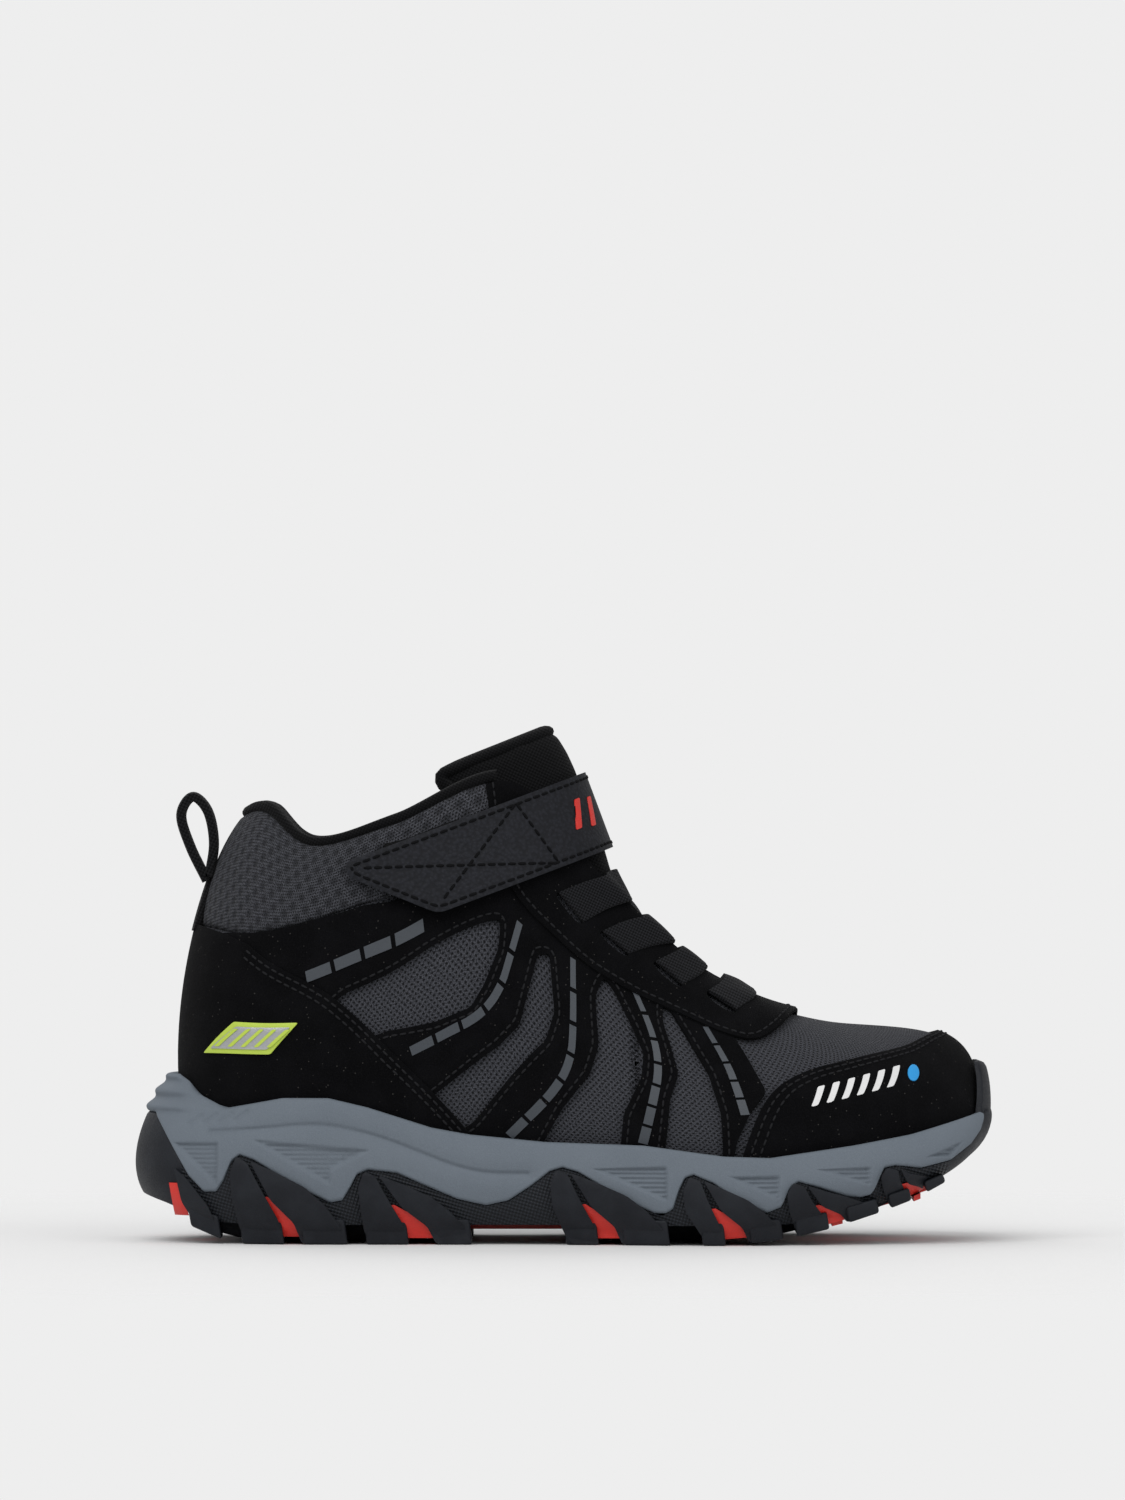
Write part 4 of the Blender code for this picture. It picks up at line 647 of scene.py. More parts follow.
def shell_mesh(outer, inner):
    """Points and faces of a closed sheet between two grids of points (n, m, 3)."""
    n, m = outer.shape[:2]
    points = np.concatenate([outer.reshape(-1, 3), inner.reshape(-1, 3)])
    quads = grid_quads(n, m)
    index = np.arange(n * m).reshape(n, m)
    border = np.concatenate([index[:-1, 0], index[-1, :-1], index[:0:-1, -1], index[0, :0:-1]])
    ahead = np.roll(border, -1)
    rim_quads = np.stack([ahead, border, border + n * m, ahead + n * m], 1)
    return points, np.concatenate([quads, quads[:, ::-1] + n * m, rim_quads])


def tube_faces(rings, section):
    """Faces of a closed tube of rings of section points each, capped at both ends."""
    last = (rings - 1) * section
    faces = [tuple(q) for q in grid_quads(rings, section, wrap_m=True)]
    return faces + [tuple(range(section))[::-1], tuple(range(last, last + section))]


def loft_faces(rings):
    """Faces of a closed body of rings round the boot, capped across it at both ends."""
    size = len(rings[0])
    faces = [tuple(q) for q in grid_quads(len(rings), size, wrap_m=True)]
    j = np.arange(size // 2)
    for base, flip in ((0, 1), ((len(rings) - 1) * size, -1)):
        cells = np.stack([base + j, base + j + 1, base + (size - j - 1) % size,
                          base + (size - j) % size], 1)
        faces += [tuple(dict.fromkeys(cell[::flip])) for cell in cells.tolist()]
    return faces


def bevelled(obj, width, segments=2, angle=50):
    """Rounds a piece's hard edges, and applies the modifier."""
    bevel = obj.modifiers.new("edge", "BEVEL")
    bevel.width = width * MM
    bevel.segments = segments
    bevel.limit_method = "ANGLE"
    bevel.angle_limit = math.radians(angle)
    apply_modifiers(obj)
    obj.data.set_sharp_from_angle(angle=math.radians(40))
    return obj


def apply_modifiers(obj):
    graph = bpy.context.evaluated_depsgraph_get()
    mesh = bpy.data.meshes.new_from_object(obj.evaluated_get(graph))
    obj.modifiers.clear()
    obj.data = mesh


CHART_SCALE = np.array([U_SPAN, V_SPAN])


def side_loop(outline, side):
    """A side-view outline on the upper in the chart's millimetres, its corners rounded a little."""
    return chaikin(resampled(side_chart(outline, side) * CHART_SCALE, 3.2), 2)


def fine_panel(name, loop, holes, d_in, d_out, look, slot, replaces=(), spacing=2.2, edge=0.35):
    """A bevelled sheet on the upper from smooth loops in the chart's millimetres."""
    points, faces = fill(loop, holes, spacing)
    g, v = (points / CHART_SCALE).T
    outer, inner = (on_loop(upper, g, v, depth) for depth in (d_out, d_in))
    return closed_sheet(name, points, faces, outer, inner, look, slot, replaces, edge)


def closed_sheet(name, uv, faces, outer, inner, look, slot, replaces=(), edge=0.35, ride=True):
    """A piece from one triangulation placed twice, outer and inner, closed round its borders."""
    count = len(outer)
    solid = [tuple(f) for f in faces] + [tuple(f[::-1] + count) for f in faces]
    seen = {(a, b) for f in faces for a, b in ((f[0], f[1]), (f[1], f[2]), (f[2], f[0]))}
    solid += [(b, a, a + count, b + count) for a, b in seen if (b, a) not in seen]
    obj = add_mesh(name, np.concatenate([outer, inner]), solid, look, "boot", slot,
                   np.concatenate([uv, uv]), replaces, ride)
    fix_normals(obj)
    if edge:
        return bevelled(obj, edge)
    obj.data.set_sharp_from_angle(angle=math.radians(35))
    return obj


def fix_normals(obj):
    work = bmesh.new()
    work.from_mesh(obj.data)
    loose = [v for v in work.verts if not v.link_faces]
    bmesh.ops.delete(work, geom=loose, context="VERTS")
    bmesh.ops.recalc_face_normals(work, faces=work.faces)
    if work.calc_volume(signed=True) < 0:
        bmesh.ops.reverse_faces(work, faces=work.faces)
    work.to_mesh(obj.data)
    work.free()
    obj.data.shade_smooth()


def arc_lengths(points):
    return np.concatenate([[0], np.cumsum(np.linalg.norm(np.diff(points, axis=0), axis=1))])


def offset_line(line, distance, closed):
    """A 2-D line moved sideways, to its left for a positive distance."""
    if closed:
        way = np.roll(line, -1, axis=0) - np.roll(line, 1, axis=0)
    else:
        way = np.gradient(line, axis=0)
    way /= np.linalg.norm(way, axis=1)[:, None]
    return line + np.stack([-way[:, 1], way[:, 0]], 1) * distance


def turns_left(loop):
    x, y = loop.T
    return (x * np.roll(y, -1) - np.roll(x, -1) * y).sum() > 0


# ---------------------------------------------------------------- stitching
# A stitch's rings, each (place along it as a share of its length, width as a share of its radius).
STITCH_RINGS = [(-0.5, 0.35), (-0.42, 0.8), (-0.15, 1.0), (0.15, 1.0), (0.42, 0.8), (0.5, 0.35)]
STITCH_SIDES = 6
STITCH_FACES = tube_faces(len(STITCH_RINGS), STITCH_SIDES)


class Stitching:
    """Collects stitches, each a small rounded thread, and makes them one piece."""

    def __init__(self):
        self.points, self.faces, self.count = [], [], 0

    def row(self, path, normals, pitch=2.3, length=1.7, radius=0.3):
        """Stitches along a 3-D path, lying across the given surface normals."""
        place = arc_lengths(path)
        for middle in np.arange(pitch / 2, place[-1], pitch):
            ends = [np.array([np.interp(middle + k * length / 2, place, path[:, a]) for a in range(3)])
                    for k in (-1, 1)]
            normal = np.array([np.interp(middle, place, normals[:, a]) for a in range(3)])
            self.add(ends[0], ends[1], normal / np.linalg.norm(normal), radius)

    def add(self, start, end, normal, radius):
        way = end - start
        across = np.cross(way, normal)
        size = np.linalg.norm(across)
        if size < 1e-6:
            return
        across /= size
        angles = np.arange(STITCH_SIDES) * 2 * math.pi / STITCH_SIDES
        ring = np.cos(angles)[:, None] * across + np.sin(angles)[:, None] * normal * 0.75
        middle = (start + end) / 2
        for share, wide in STITCH_RINGS:
            lift = normal * radius * (0.35 - abs(share) * 0.5)
            self.points.append(middle + way * share + lift + ring * radius * wide)
        self.faces += [tuple(k + self.count for k in face) for face in STITCH_FACES]
        self.count += len(STITCH_RINGS) * STITCH_SIDES

    def make(self, name, look, slot, ride=True):
        obj = add_mesh(name, np.concatenate(self.points), self.faces, look, "boot", slot, ride=ride)
        fix_normals(obj)
        return obj


def upper_path(line, depth):
    """A line in the chart's millimetres as 3-D points on the upper and its normals there."""
    g, v = (resampled(line, 1.0, closed=False) / CHART_SCALE).T
    path = on_loop(upper, g, v, depth)
    return path, on_loop(upper, g, v, depth + 1.0) - path


def sew_line(stitches, line, depth, inset, closed=False):
    """A stitch row along a chart line, moved sideways by inset."""
    moved = offset_line(line, inset, closed)
    if closed:
        moved = np.concatenate([moved, moved[:1]])
    stitches.row(*upper_path(moved, depth))


# ---------------------------------------------------------------- node materials
class Nodes:
    """Short calls for building a material's nodes."""

    def __init__(self, name):
        self.material = bpy.data.materials.new(name)
        self.material.use_nodes = True
        self.tree = self.material.node_tree
        self.shader = self.tree.nodes["Principled BSDF"]

    def add(self, kind, **settings):
        node = self.tree.nodes.new("ShaderNode" + kind)
        for key, value in settings.items():
            setattr(node, key, value)
        return node

    def link(self, value, socket):
        if isinstance(value, bpy.types.NodeSocket):
            self.tree.links.new(value, socket)
        else:
            socket.default_value = value

    def math(self, operation, a, b=0.0, c=0.0):
        node = self.add("Math", operation=operation)
        for value, socket in zip((a, b, c), node.inputs):
            self.link(value, socket)
        return node.outputs[0]

    def ramp(self, value, low, high, out_low=0.0, out_high=1.0):
        node = self.add("MapRange", interpolation_type="SMOOTHSTEP")
        for given, socket in zip((value, low, high, out_low, out_high), node.inputs):
            self.link(given, socket)
        return node.outputs[0]

    def mix(self, share, a, b):
        node = self.add("Mix", data_type="RGBA")
        self.link(share, node.inputs[0])
        for value, socket in ((a, node.inputs[6]), (b, node.inputs[7])):
            self.link((*value, 1) if isinstance(value, tuple) else value, socket)
        return node.outputs[2]

    def coords(self, scale, from_uv=False, turn=0.0):
        """Coordinates in millimetres times scale, from the UV or from the object's own space."""
        source = self.add("TexCoord").outputs["UV" if from_uv else "Object"]
        mapping = self.add("Mapping")
        self.link(source, mapping.inputs["Vector"])
        size = scale if from_uv else scale * 1000
        mapping.inputs["Scale"].default_value = (size, size, size)
        mapping.inputs["Rotation"].default_value = (0, 0, turn) if from_uv else (0, turn, 0)
        return mapping.outputs[0]

    def noise(self, vector, scale, detail=3.0, rough=0.5):
        node = self.add("TexNoise")
        self.link(vector, node.inputs["Vector"])
        node.inputs["Scale"].default_value = scale
        node.inputs["Detail"].default_value = detail
        node.inputs["Roughness"].default_value = rough
        return node.outputs["Fac"]

    def voronoi(self, vector, scale, feature="F1"):
        node = self.add("TexVoronoi", feature=feature)
        self.link(vector, node.inputs["Vector"])
        node.inputs["Scale"].default_value = scale
        return node.outputs["Distance"]

    def dots(self, vector, wide, tall, radius, soft):
        """Staggered round dots: 1 inside a dot. Pitches and radius are in millimetres."""
        parts = self.add("SeparateXYZ")
        self.link(vector, parts.inputs[0])
        x = self.math("DIVIDE", parts.outputs[0], wide)
        y = self.math("DIVIDE", parts.outputs[1], tall)
        stagger = self.math("MULTIPLY", self.math("FLOOR", y), 0.5)
        across = self.math("FRACT", self.math("ADD", x, stagger))
        across = self.math("MULTIPLY", self.math("SUBTRACT", across, 0.5), wide)
        up = self.math("MULTIPLY", self.math("SUBTRACT", self.math("FRACT", y), 0.5), tall)
        size = self.math("SQRT", self.math("ADD", self.math("MULTIPLY", across, across),
                                           self.math("MULTIPLY", up, up)))
        return self.ramp(size, radius + soft, radius - soft)

    def weave(self, vector, pitch):
        """Plain weave height in side view, 0..1, threads pitch millimetres apart."""
        parts = self.add("SeparateXYZ")
        self.link(vector, parts.inputs[0])
        waves = [self.math("SINE", self.math("MULTIPLY", parts.outputs[axis], math.pi / pitch))
                 for axis in (0, 2)]
        return self.math("MULTIPLY_ADD", self.math("MULTIPLY", waves[0], waves[1]), 0.5, 0.5)

    def bump(self, height, distance, strength=1.0, under=None):
        node = self.add("Bump")
        node.inputs["Strength"].default_value = strength
        node.inputs["Distance"].default_value = distance * MM
        self.link(height, node.inputs["Height"])
        if under is not None:
            self.link(under, node.inputs["Normal"])
        return node.outputs[0]

    def finish(self, colour, roughness, normal=None, sheen=0.0, metallic=0.0, specular=0.5):
        colour = (*colour, 1) if isinstance(colour, tuple) else colour
        self.link(colour, self.shader.inputs["Base Color"])
        self.link(roughness, self.shader.inputs["Roughness"])
        self.shader.inputs["Metallic"].default_value = metallic
        self.shader.inputs["Sheen Weight"].default_value = sheen
        self.shader.inputs["Sheen Roughness"].default_value = 0.5
        self.shader.inputs["Specular IOR Level"].default_value = specular
        if normal is not None:
            self.link(normal, self.shader.inputs["Normal"])
        return self.material


def nubuck_look():
    """Black synthetic nubuck: short nap, faint cloudy wear and tiny painted glints."""
    n = Nodes("nubuck_nap")
    at = n.coords(1.0)
    nap = n.noise(at, 3.2, 4.0, 0.7)
    cloud = n.noise(at, 0.12, 2.0)
    colour = n.mix(n.ramp(cloud, 0.35, 0.7), (0.0014, 0.0014, 0.0018), (0.0026, 0.0026, 0.0032))
    colour = n.mix(n.ramp(nap, 0.45, 0.8, 0.0, 0.4), colour, (0.009, 0.009, 0.0105))
    # painted glints: tiny pale specks mixed into the base colour
    painted_glint = n.ramp(n.voronoi(at, 0.55), 0.12, 0.04)
    colour = n.mix(n.math("MULTIPLY", painted_glint, 0.3), colour, (0.16, 0.15, 0.14))
    rough = n.ramp(nap, 0.3, 0.7, 0.95, 0.8)
    return n.finish(colour, rough, n.bump(nap, 0.2, 0.7), sheen=0.012, specular=0.06)


def mesh_look():
    """Grey chain-knit mesh: rows of small loops with dark holes between light threads."""
    n = Nodes("chain_knit")
    at = n.coords(1.0, from_uv=True, turn=-0.15)
    holes = n.dots(at, 1.45, 0.8, 0.24, 0.16)
    fine = n.dots(n.coords(1.0, from_uv=True, turn=1.1), 0.6, 0.42, 0.1, 0.12)
    thread = n.noise(n.coords(1.0, from_uv=True), 3.2, 3.0, 0.6)
    light = n.ramp(thread, 0.34, 0.62)
    colour = n.mix(light, (0.011, 0.0115, 0.0145), (0.070, 0.073, 0.085))
    colour = n.mix(n.math("MULTIPLY", fine, 0.5), colour, (0.014, 0.014, 0.018))
    colour = n.mix(n.math("MULTIPLY", holes, 0.92), colour, (0.003, 0.003, 0.004))
    height = n.math("SUBTRACT", n.math("MULTIPLY", thread, 0.5), holes)
    return n.finish(colour, 0.9, n.bump(height, 0.4), sheen=0.05, specular=0.12)


def collar_mesh_look():
    """Spacer mesh of the collar: grey knit with a lattice of darker sunken diamonds."""
    n = Nodes("spacer_mesh")
    diamonds = n.dots(n.coords(1.0, from_uv=True, turn=0.15), 4.6, 2.6, 1.0, 0.7)
    holes = n.dots(n.coords(1.0, from_uv=True, turn=0.75), 0.95, 0.62, 0.17, 0.13)
    thread = n.noise(n.coords(1.0, from_uv=True), 2.8, 3.0, 0.6)
    colour = n.mix(n.ramp(thread, 0.34, 0.64), (0.014, 0.0145, 0.018), (0.080, 0.083, 0.096))
    colour = n.mix(n.math("MULTIPLY", diamonds, 0.6), colour, (0.008, 0.0085, 0.0105))
    colour = n.mix(n.math("MULTIPLY", holes, 0.9), colour, (0.003, 0.003, 0.004))
    height = n.math("SUBTRACT", n.math("MULTIPLY", thread, 0.3), holes)
    height = n.math("SUBTRACT", height, n.math("MULTIPLY", diamonds, 0.8))
    return n.finish(colour, 0.9, n.bump(height, 0.5), sheen=0.05, specular=0.12)


def midsole_look():
    """Blue-grey foam with a fine moulded grain."""
    n = Nodes("foam_rubber")
    at = n.coords(1.0)
    grain = n.noise(at, 3.5, 3.0, 0.6)
    cloud = n.noise(at, 0.06, 2.0)
    colour = n.mix(cloud, (0.115, 0.137, 0.163), (0.138, 0.162, 0.19))
    colour = n.mix(n.ramp(grain, 0.35, 0.75, 0.0, 0.35), colour, (0.195, 0.222, 0.255))
    return n.finish(colour, n.ramp(grain, 0.3, 0.7, 0.7, 0.85), n.bump(grain, 0.12), specular=0.2)


def rubber_look(name="smooth_rubber", weave=0.0):
    """Charcoal rubber, smooth on the lugs and moulded with a weave in the recesses."""
    n = Nodes(name)
    at = n.coords(1.0)
    grain = n.noise(at, 2.5, 3.0)
    dust = n.noise(at, 0.15, 3.0)
    colour = n.mix(n.ramp(dust, 0.35, 0.7), (0.0085, 0.0098, 0.0135), (0.0125, 0.0145, 0.019))
    normal = n.bump(grain, 0.05)
    if weave:
        cells = n.weave(n.coords(1.0, turn=0.5), weave)
        colour = n.mix(n.ramp(cells, 0.3, 0.75), (0.006, 0.007, 0.009), (0.019, 0.022, 0.028))
        normal = n.bump(cells, 0.3, under=normal)
    return n.finish(colour, n.ramp(grain, 0.3, 0.7, 0.5, 0.66), normal, specular=0.22)


def red_look():
    n = Nodes("red_rubber")
    grain = n.noise(n.coords(1.0), 2.5, 3.0)
    colour = n.mix(grain, (0.52, 0.014, 0.008), (0.72, 0.028, 0.016))
    return n.finish(colour, n.ramp(grain, 0.3, 0.7, 0.38, 0.55), n.bump(grain, 0.06))


def textile_look(name, dark, light, pitch, relief=0.3):
    """A woven textile: lining, binding, webbing or elastic."""
    n = Nodes(name)
    cells = n.weave(n.coords(1.0, turn=0.35), pitch)
    fibre = n.noise(n.coords(1.0), 4.0, 3.0)
    share = n.math("MULTIPLY", n.math("ADD", cells, fibre), 0.5)
    colour = n.mix(n.ramp(share, 0.3, 0.75), dark, light)
    return n.finish(colour, 0.92, n.bump(share, relief), sheen=0.04, specular=0.1)


def strap_look():
    """Slate-black synthetic leather with a pebbled grain."""
    n = Nodes("pebbled_synthetic")
    at = n.coords(1.0)
    pebbles = n.voronoi(at, 1.15, feature="SMOOTH_F1")
    fine = n.noise(at, 4.0, 3.0)
    colour = n.mix(n.ramp(pebbles, 0.15, 0.6), (0.0120, 0.0130, 0.0178), (0.0062, 0.0068, 0.0095))
    height = n.math("ADD", n.math("MULTIPLY", pebbles, -1.0), n.math("MULTIPLY", fine, 0.25))
    return n.finish(colour, n.ramp(fine, 0.3, 0.7, 0.55, 0.7), n.bump(height, 0.18), specular=0.2)


def plain_look(name, low, high, roughness, relief=0.05, scale=3.0, **finish):
    """Thread, film and moulded pieces: a speckled colour with a little relief."""
    n = Nodes(name)
    grain = n.noise(n.coords(1.0), scale, 3.0)
    return n.finish(n.mix(grain, low, high), roughness, n.bump(grain, relief), **finish)


LOOKS = {
    "nubuck": nubuck_look(), "mesh": mesh_look(), "collar": collar_mesh_look(),
    "midsole": midsole_look(), "red": red_look(), "strap": strap_look(),
    "rubber": rubber_look(), "woven_rubber": rubber_look("woven_rubber", 0.62),
    "lining": textile_look("brushed_lining", (0.0014, 0.0014, 0.0016), (0.0085, 0.0085, 0.0095), 0.55),
    "binding": textile_look("binding_tape", (0.0016, 0.0016, 0.0018), (0.0065, 0.0065, 0.0075), 0.5),
    "webbing": textile_look("webbing", (0.0026, 0.0026, 0.003), (0.013, 0.013, 0.0145), 0.6, relief=0.4),
    "elastic": textile_look("elastic_braid", (0.0018, 0.0018, 0.0022), (0.017, 0.0175, 0.0205), 0.5,
                            relief=0.4),
    "thread": plain_look("grey_thread", (0.007, 0.007, 0.008), (0.022, 0.022, 0.0245), 0.8, 0.1, 6.0,
                         specular=0.1),
    "dark_thread": plain_look("black_thread", (0.002, 0.002, 0.0025), (0.007, 0.007, 0.008), 0.8, 0.1,
                              6.0, specular=0.08),
    "reflective": plain_look("reflective_film", (0.030, 0.036, 0.044), (0.052, 0.061, 0.073), 0.45, 0.05,
                             5.0, metallic=0.1),
    "white": plain_look("white_print", (0.62, 0.62, 0.62), (0.8, 0.8, 0.8), 0.45),
    "blue": plain_look("blue_print", (0.012, 0.26, 0.62), (0.016, 0.32, 0.72), 0.4),
    "lime": plain_look("lime_print", (0.42, 0.55, 0.05), (0.52, 0.66, 0.09), 0.4),
    "silver": plain_look("silver_film", (0.38, 0.39, 0.4), (0.55, 0.56, 0.57), 0.3, metallic=0.6),
    "foam": plain_look("open_foam", (0.5, 0.47, 0.38), (0.62, 0.6, 0.5), 0.95, 0.4, 1.5),
    "board": plain_look("fibre_board", (0.42, 0.35, 0.25), (0.62, 0.54, 0.42), 0.9, 0.2, 1.5),
    "stiffener": plain_look("moulded_sheet", (0.55, 0.55, 0.52), (0.65, 0.65, 0.62), 0.5),
    "shank": plain_look("moulded_nylon", (0.03, 0.03, 0.03), (0.05, 0.05, 0.05), 0.4),
    "hook": plain_look("hook_tape", (0.002, 0.002, 0.002), (0.014, 0.014, 0.015), 0.9, 0.8, 2.2,
                       specular=0.1),
}


# ---------------------------------------------------------------- the sole's wall, sampled once
class Wall:
    """The sole's side wall as a fine table, so that many points can be placed on it quickly."""
    COLUMNS, ROWS = 301, 89
    HIGHEST = 2.2                    # the last row's h, well up the toe
    MIDDLE_ROW = 14                  # the row, near h = 0.35, from which locate() starts

    def __init__(self):
        us, hs = self.COLUMNS, self.ROWS
        self.u, self.h = np.linspace(0, 1, us), np.linspace(0, self.HIGHEST, hs)
        uu, hh = np.meshgrid(self.u, self.h, indexing="ij")
        flat = sole(uu.ravel(), hh.ravel())
        self.points = flat.reshape(us, hs, 3)
        self.normals = sole(uu.ravel(), hh.ravel(), 1.0).reshape(us, hs, 3) - self.points
        self.normals[[0, -1]] = [[[-1, 0, 0]], [[1, 0, 0]]]
        for _ in range(4):
            self.normals[:, 1:-1] = (self.normals[:, :-2] + 2 * self.normals[:, 1:-1]
                                     + self.normals[:, 2:]) / 4
            self.normals[1:-1] = (self.normals[:-2] + 2 * self.normals[1:-1] + self.normals[2:]) / 4
        self.normals /= np.linalg.norm(self.normals, axis=2)[..., None]

    def at(self, u, h, depth=0.0):
        """Points (x, w, z) at u and h, moved outwards by depth."""
        u, h, depth = np.broadcast_arrays(np.asarray(u, float), h, depth)
        i = np.clip(u, 0, 1) * (len(self.u) - 1)
        j = np.clip(h / self.HIGHEST, 0, 1) * (len(self.h) - 1)
        i0, j0 = np.minimum(i.astype(int), len(self.u) - 2), np.minimum(j.astype(int), len(self.h) - 2)
        fi, fj = (i - i0)[..., None], (j - j0)[..., None]
        mixed = []
        for table in (self.points, self.normals):
            low = table[i0, j0] * (1 - fi) + table[i0 + 1, j0] * fi
            high = table[i0, j0 + 1] * (1 - fi) + table[i0 + 1, j0 + 1] * fi
            mixed.append(low * (1 - fj) + high * fj)
        return mixed[0] + mixed[1] * depth[..., None]

    def locate(self, x, z):
        """(u, h) of side-view points, by Newton steps; a point below the wall gets h = 0."""
        middle = self.points[:, self.MIDDLE_ROW]
        u = np.interp(x, middle[:, 0], self.u)
        h = np.full(len(u), 0.35)
        step = 0.004
        for _ in range(14):
            here = self.at(u, h)
            over = self.at(np.minimum(u + step, 1), h) - here
            up = self.at(u, h + step) - here
            a, b, c, d = over[:, 0], up[:, 0], over[:, 2], up[:, 2]
            det = a * d - b * c
            det = np.where(np.abs(det) < 1e-6, 1e-6, det)
            ex, ez = x - here[:, 0], z - here[:, 2]
            u = np.clip(u + np.clip((d * ex - b * ez) / det * step, -0.05, 0.05), 0.002, 0.997)
            h = np.clip(h + np.clip((a * ez - c * ex) / det * step, -0.2, 0.2), 0, 1)
        return u, h

    def height(self, u, target):
        """h where the wall at each u reaches the height target(x)."""
        low, high = np.zeros(len(u)), np.ones(len(u))
        for _ in range(24):
            middle = (low + high) / 2
            point = self.at(u, middle)
            above = point[:, 2] > target(point[:, 0])
            low, high = np.where(above, low, middle), np.where(above, middle, high)
        return (low + high) / 2


WALL = Wall()
WAVE_LEAST, WAVE_MOST = 0.02, 0.93   # the wave's h: at least this over the plate, at most this
SMOOTH_ENDS = 100.0                  # beyond this x the toe and heel bumpers are smooth rubber
LOOK_STEPS = 700                     # steps along each side of the fine sole


def distance_to(points, line):
    """Distance from 2-D points to a polyline."""
    best = np.full(len(points), 1e9)
    for a, b in zip(line[:-1], line[1:]):
        a, b = np.asarray(a, float), np.asarray(b, float)
        share = np.clip(((points - a) @ (b - a)) / ((b - a) @ (b - a)), 0, 1)
        best = np.minimum(best, np.linalg.norm(points - (a + share[:, None] * (b - a)), axis=1))
    return best


def dent(away, deep, wide):
    """Depth of a soft groove at a distance from its line."""
    return deep * np.exp(-(away / wide) ** 2)


def rounded_off(away, run, drop):
    """How far a rounded edge falls back at a distance from it: drop at the edge, none beyond run."""
    return drop * (1 - np.sqrt(np.clip(1 - (1 - np.clip(away / run, 0, 1)) ** 2, 0, 1)))


def midsole_relief(points):
    """Depth of the midsole's moulded details at side-view points (x, z)."""
    depth = np.zeros(len(points))
    for pocket in POCKETS:
        loop = chaikin(resampled(pocket, 2.0), 2)
        within = inside(points, loop)
        edge = distance_to(points, np.concatenate([loop, loop[:1]]))
        ribs = 0.24 * np.cos(2 * math.pi * points[:, 1] / 1.2)
        depth -= np.where(within, np.clip(edge / 0.9, 0, 1) * (0.85 - ribs), 0)
    groove = distance_to(points, chaikin(LONG_GROOVE, 2, closed=False))
    depth -= dent(groove, 0.55, 0.6) + dent(groove, 0.5, 2.4)
    for short in HEEL_GROOVES:
        reach = distance_to(points, short)
        depth -= dent(reach, 0.35, 0.5) + dent(reach, 0.3, 1.4)
    # Soft folds across the heel, fading in behind x = -95 and above z = 32.5.
    folds = np.clip((-95 - points[:, 0]) / 5, 0, 1) * np.clip((points[:, 1] - 32.5) / 2.5, 0, 1)
    return depth + folds * (0.55 * np.cos(2 * math.pi * (points[:, 1] - 35.6) / 4.1) + 0.1)


def loft_mesh(name, rings, look, slot, replaces, sharp=60):
    """A closed body from rings, capped across the boot at both ends, with sharp edges over an angle."""
    obj = add_mesh(name, np.concatenate(rings), loft_faces(rings), LOOKS[look], "boot", slot,
                   replaces=replaces)
    fix_normals(obj)
    obj.data.set_sharp_from_angle(angle=math.radians(sharp))
    return obj


def make_midsole():
    """The foam cup: its moulded face from the wave up, over the rim, and down inside."""
    g = ring_points(LOOK_STEPS)
    u, side = around(g)
    toe = bumper(u)
    floor_h = WALL.height(u, lambda x: plate_top(x) + LAYER_GAP)
    wave_h = np.maximum(WALL.height(u, lambda x: along(WAVE_LINE, x)), floor_h + WAVE_LEAST)
    wave_h = np.minimum(wave_h, WAVE_MOST)
    rings = []
    for share in np.linspace(0, 1, 60):
        h = wave_h + (1 - wave_h) * share
        flat = WALL.at(u, h)
        reach = flat[:, 2] - WALL.at(u, wave_h)[:, 2]
        left = WALL.at(u, np.ones(len(u)))[:, 2] - flat[:, 2]
        rounding = rounded_off(reach, 0.9, 0.7) + rounded_off(left, 1.0, 0.8)
        depth = MIDSOLE_PROUD * (1 - toe) - BUMPER_INSET * toe - rounding
        depth = depth + midsole_relief(flat[:, [0, 2]]) * (1 - toe)
        rings.append(WALL.at(u, h, depth))
    rings.append(rim(u, 0.5))
    low_v = v_at_height(u, RIM_LINE) * 0.45
    rings.append(upper(u, low_v, 0.7))
    rings.append(WALL.at(u, wave_h, -WRAP_THICK - 1.2))
    grid = np.stack([placed(r, side) for r in rings], 1)
    quads = grid_quads(grid.shape[0], grid.shape[1], True, True)
    obj = add_mesh("midsole_foam", grid.reshape(-1, 3), quads, LOOKS["midsole"], "boot", "midsole",
                   replaces=["midsole"])
    fix_normals(obj)


def make_outsole():
    """The rubber plate's edge and the wrap up to the wave, and up the toe as its bumper."""
    g = ring_points(LOOK_STEPS)
    u, side = around(g)
    toe = bumper(u)
    low_h = WALL.height(u, lambda x: plate_top(x) - PLATE_THICK)
    top_h = WALL.height(u, plate_top)
    wave_h = np.maximum(WALL.height(u, lambda x: along(WAVE_LINE, x)), top_h + WAVE_LEAST)
    rise = (BUMPER_TOP - rim(u, 0)[:, 2]) / 10
    wave_h = np.minimum(wave_h, WAVE_MOST) * (1 - toe) + (1 + rise) * toe
    out = -WRAP_SUNK * (1 - toe) + BUMPER_OUT * toe
    into = -WRAP_THICK * (1 - toe) - (BUMPER_INSET - LAYER_GAP) * toe
    rings = []
    for share in np.linspace(0, 1, 26):
        rounding = 0.35 * max(0.0, (share - 0.96) / 0.04) ** 2
        rings.append(WALL.at(u, low_h + (wave_h - low_h) * share, out - rounding))
    rings += [WALL.at(u, top_h + (wave_h - top_h) * share, into) for share in (1, 0.5, 0)]
    obj = loft_mesh("outsole_wrap", [placed(r, side) for r in rings], "woven_rubber", "rubber",
                    ["outsole"], sharp=50)
    obj.data.materials.append(LOOKS["rubber"])
    for face in obj.data.polygons:
        face.material_index = int(abs(face.center.x / MM) > SMOOTH_ENDS)


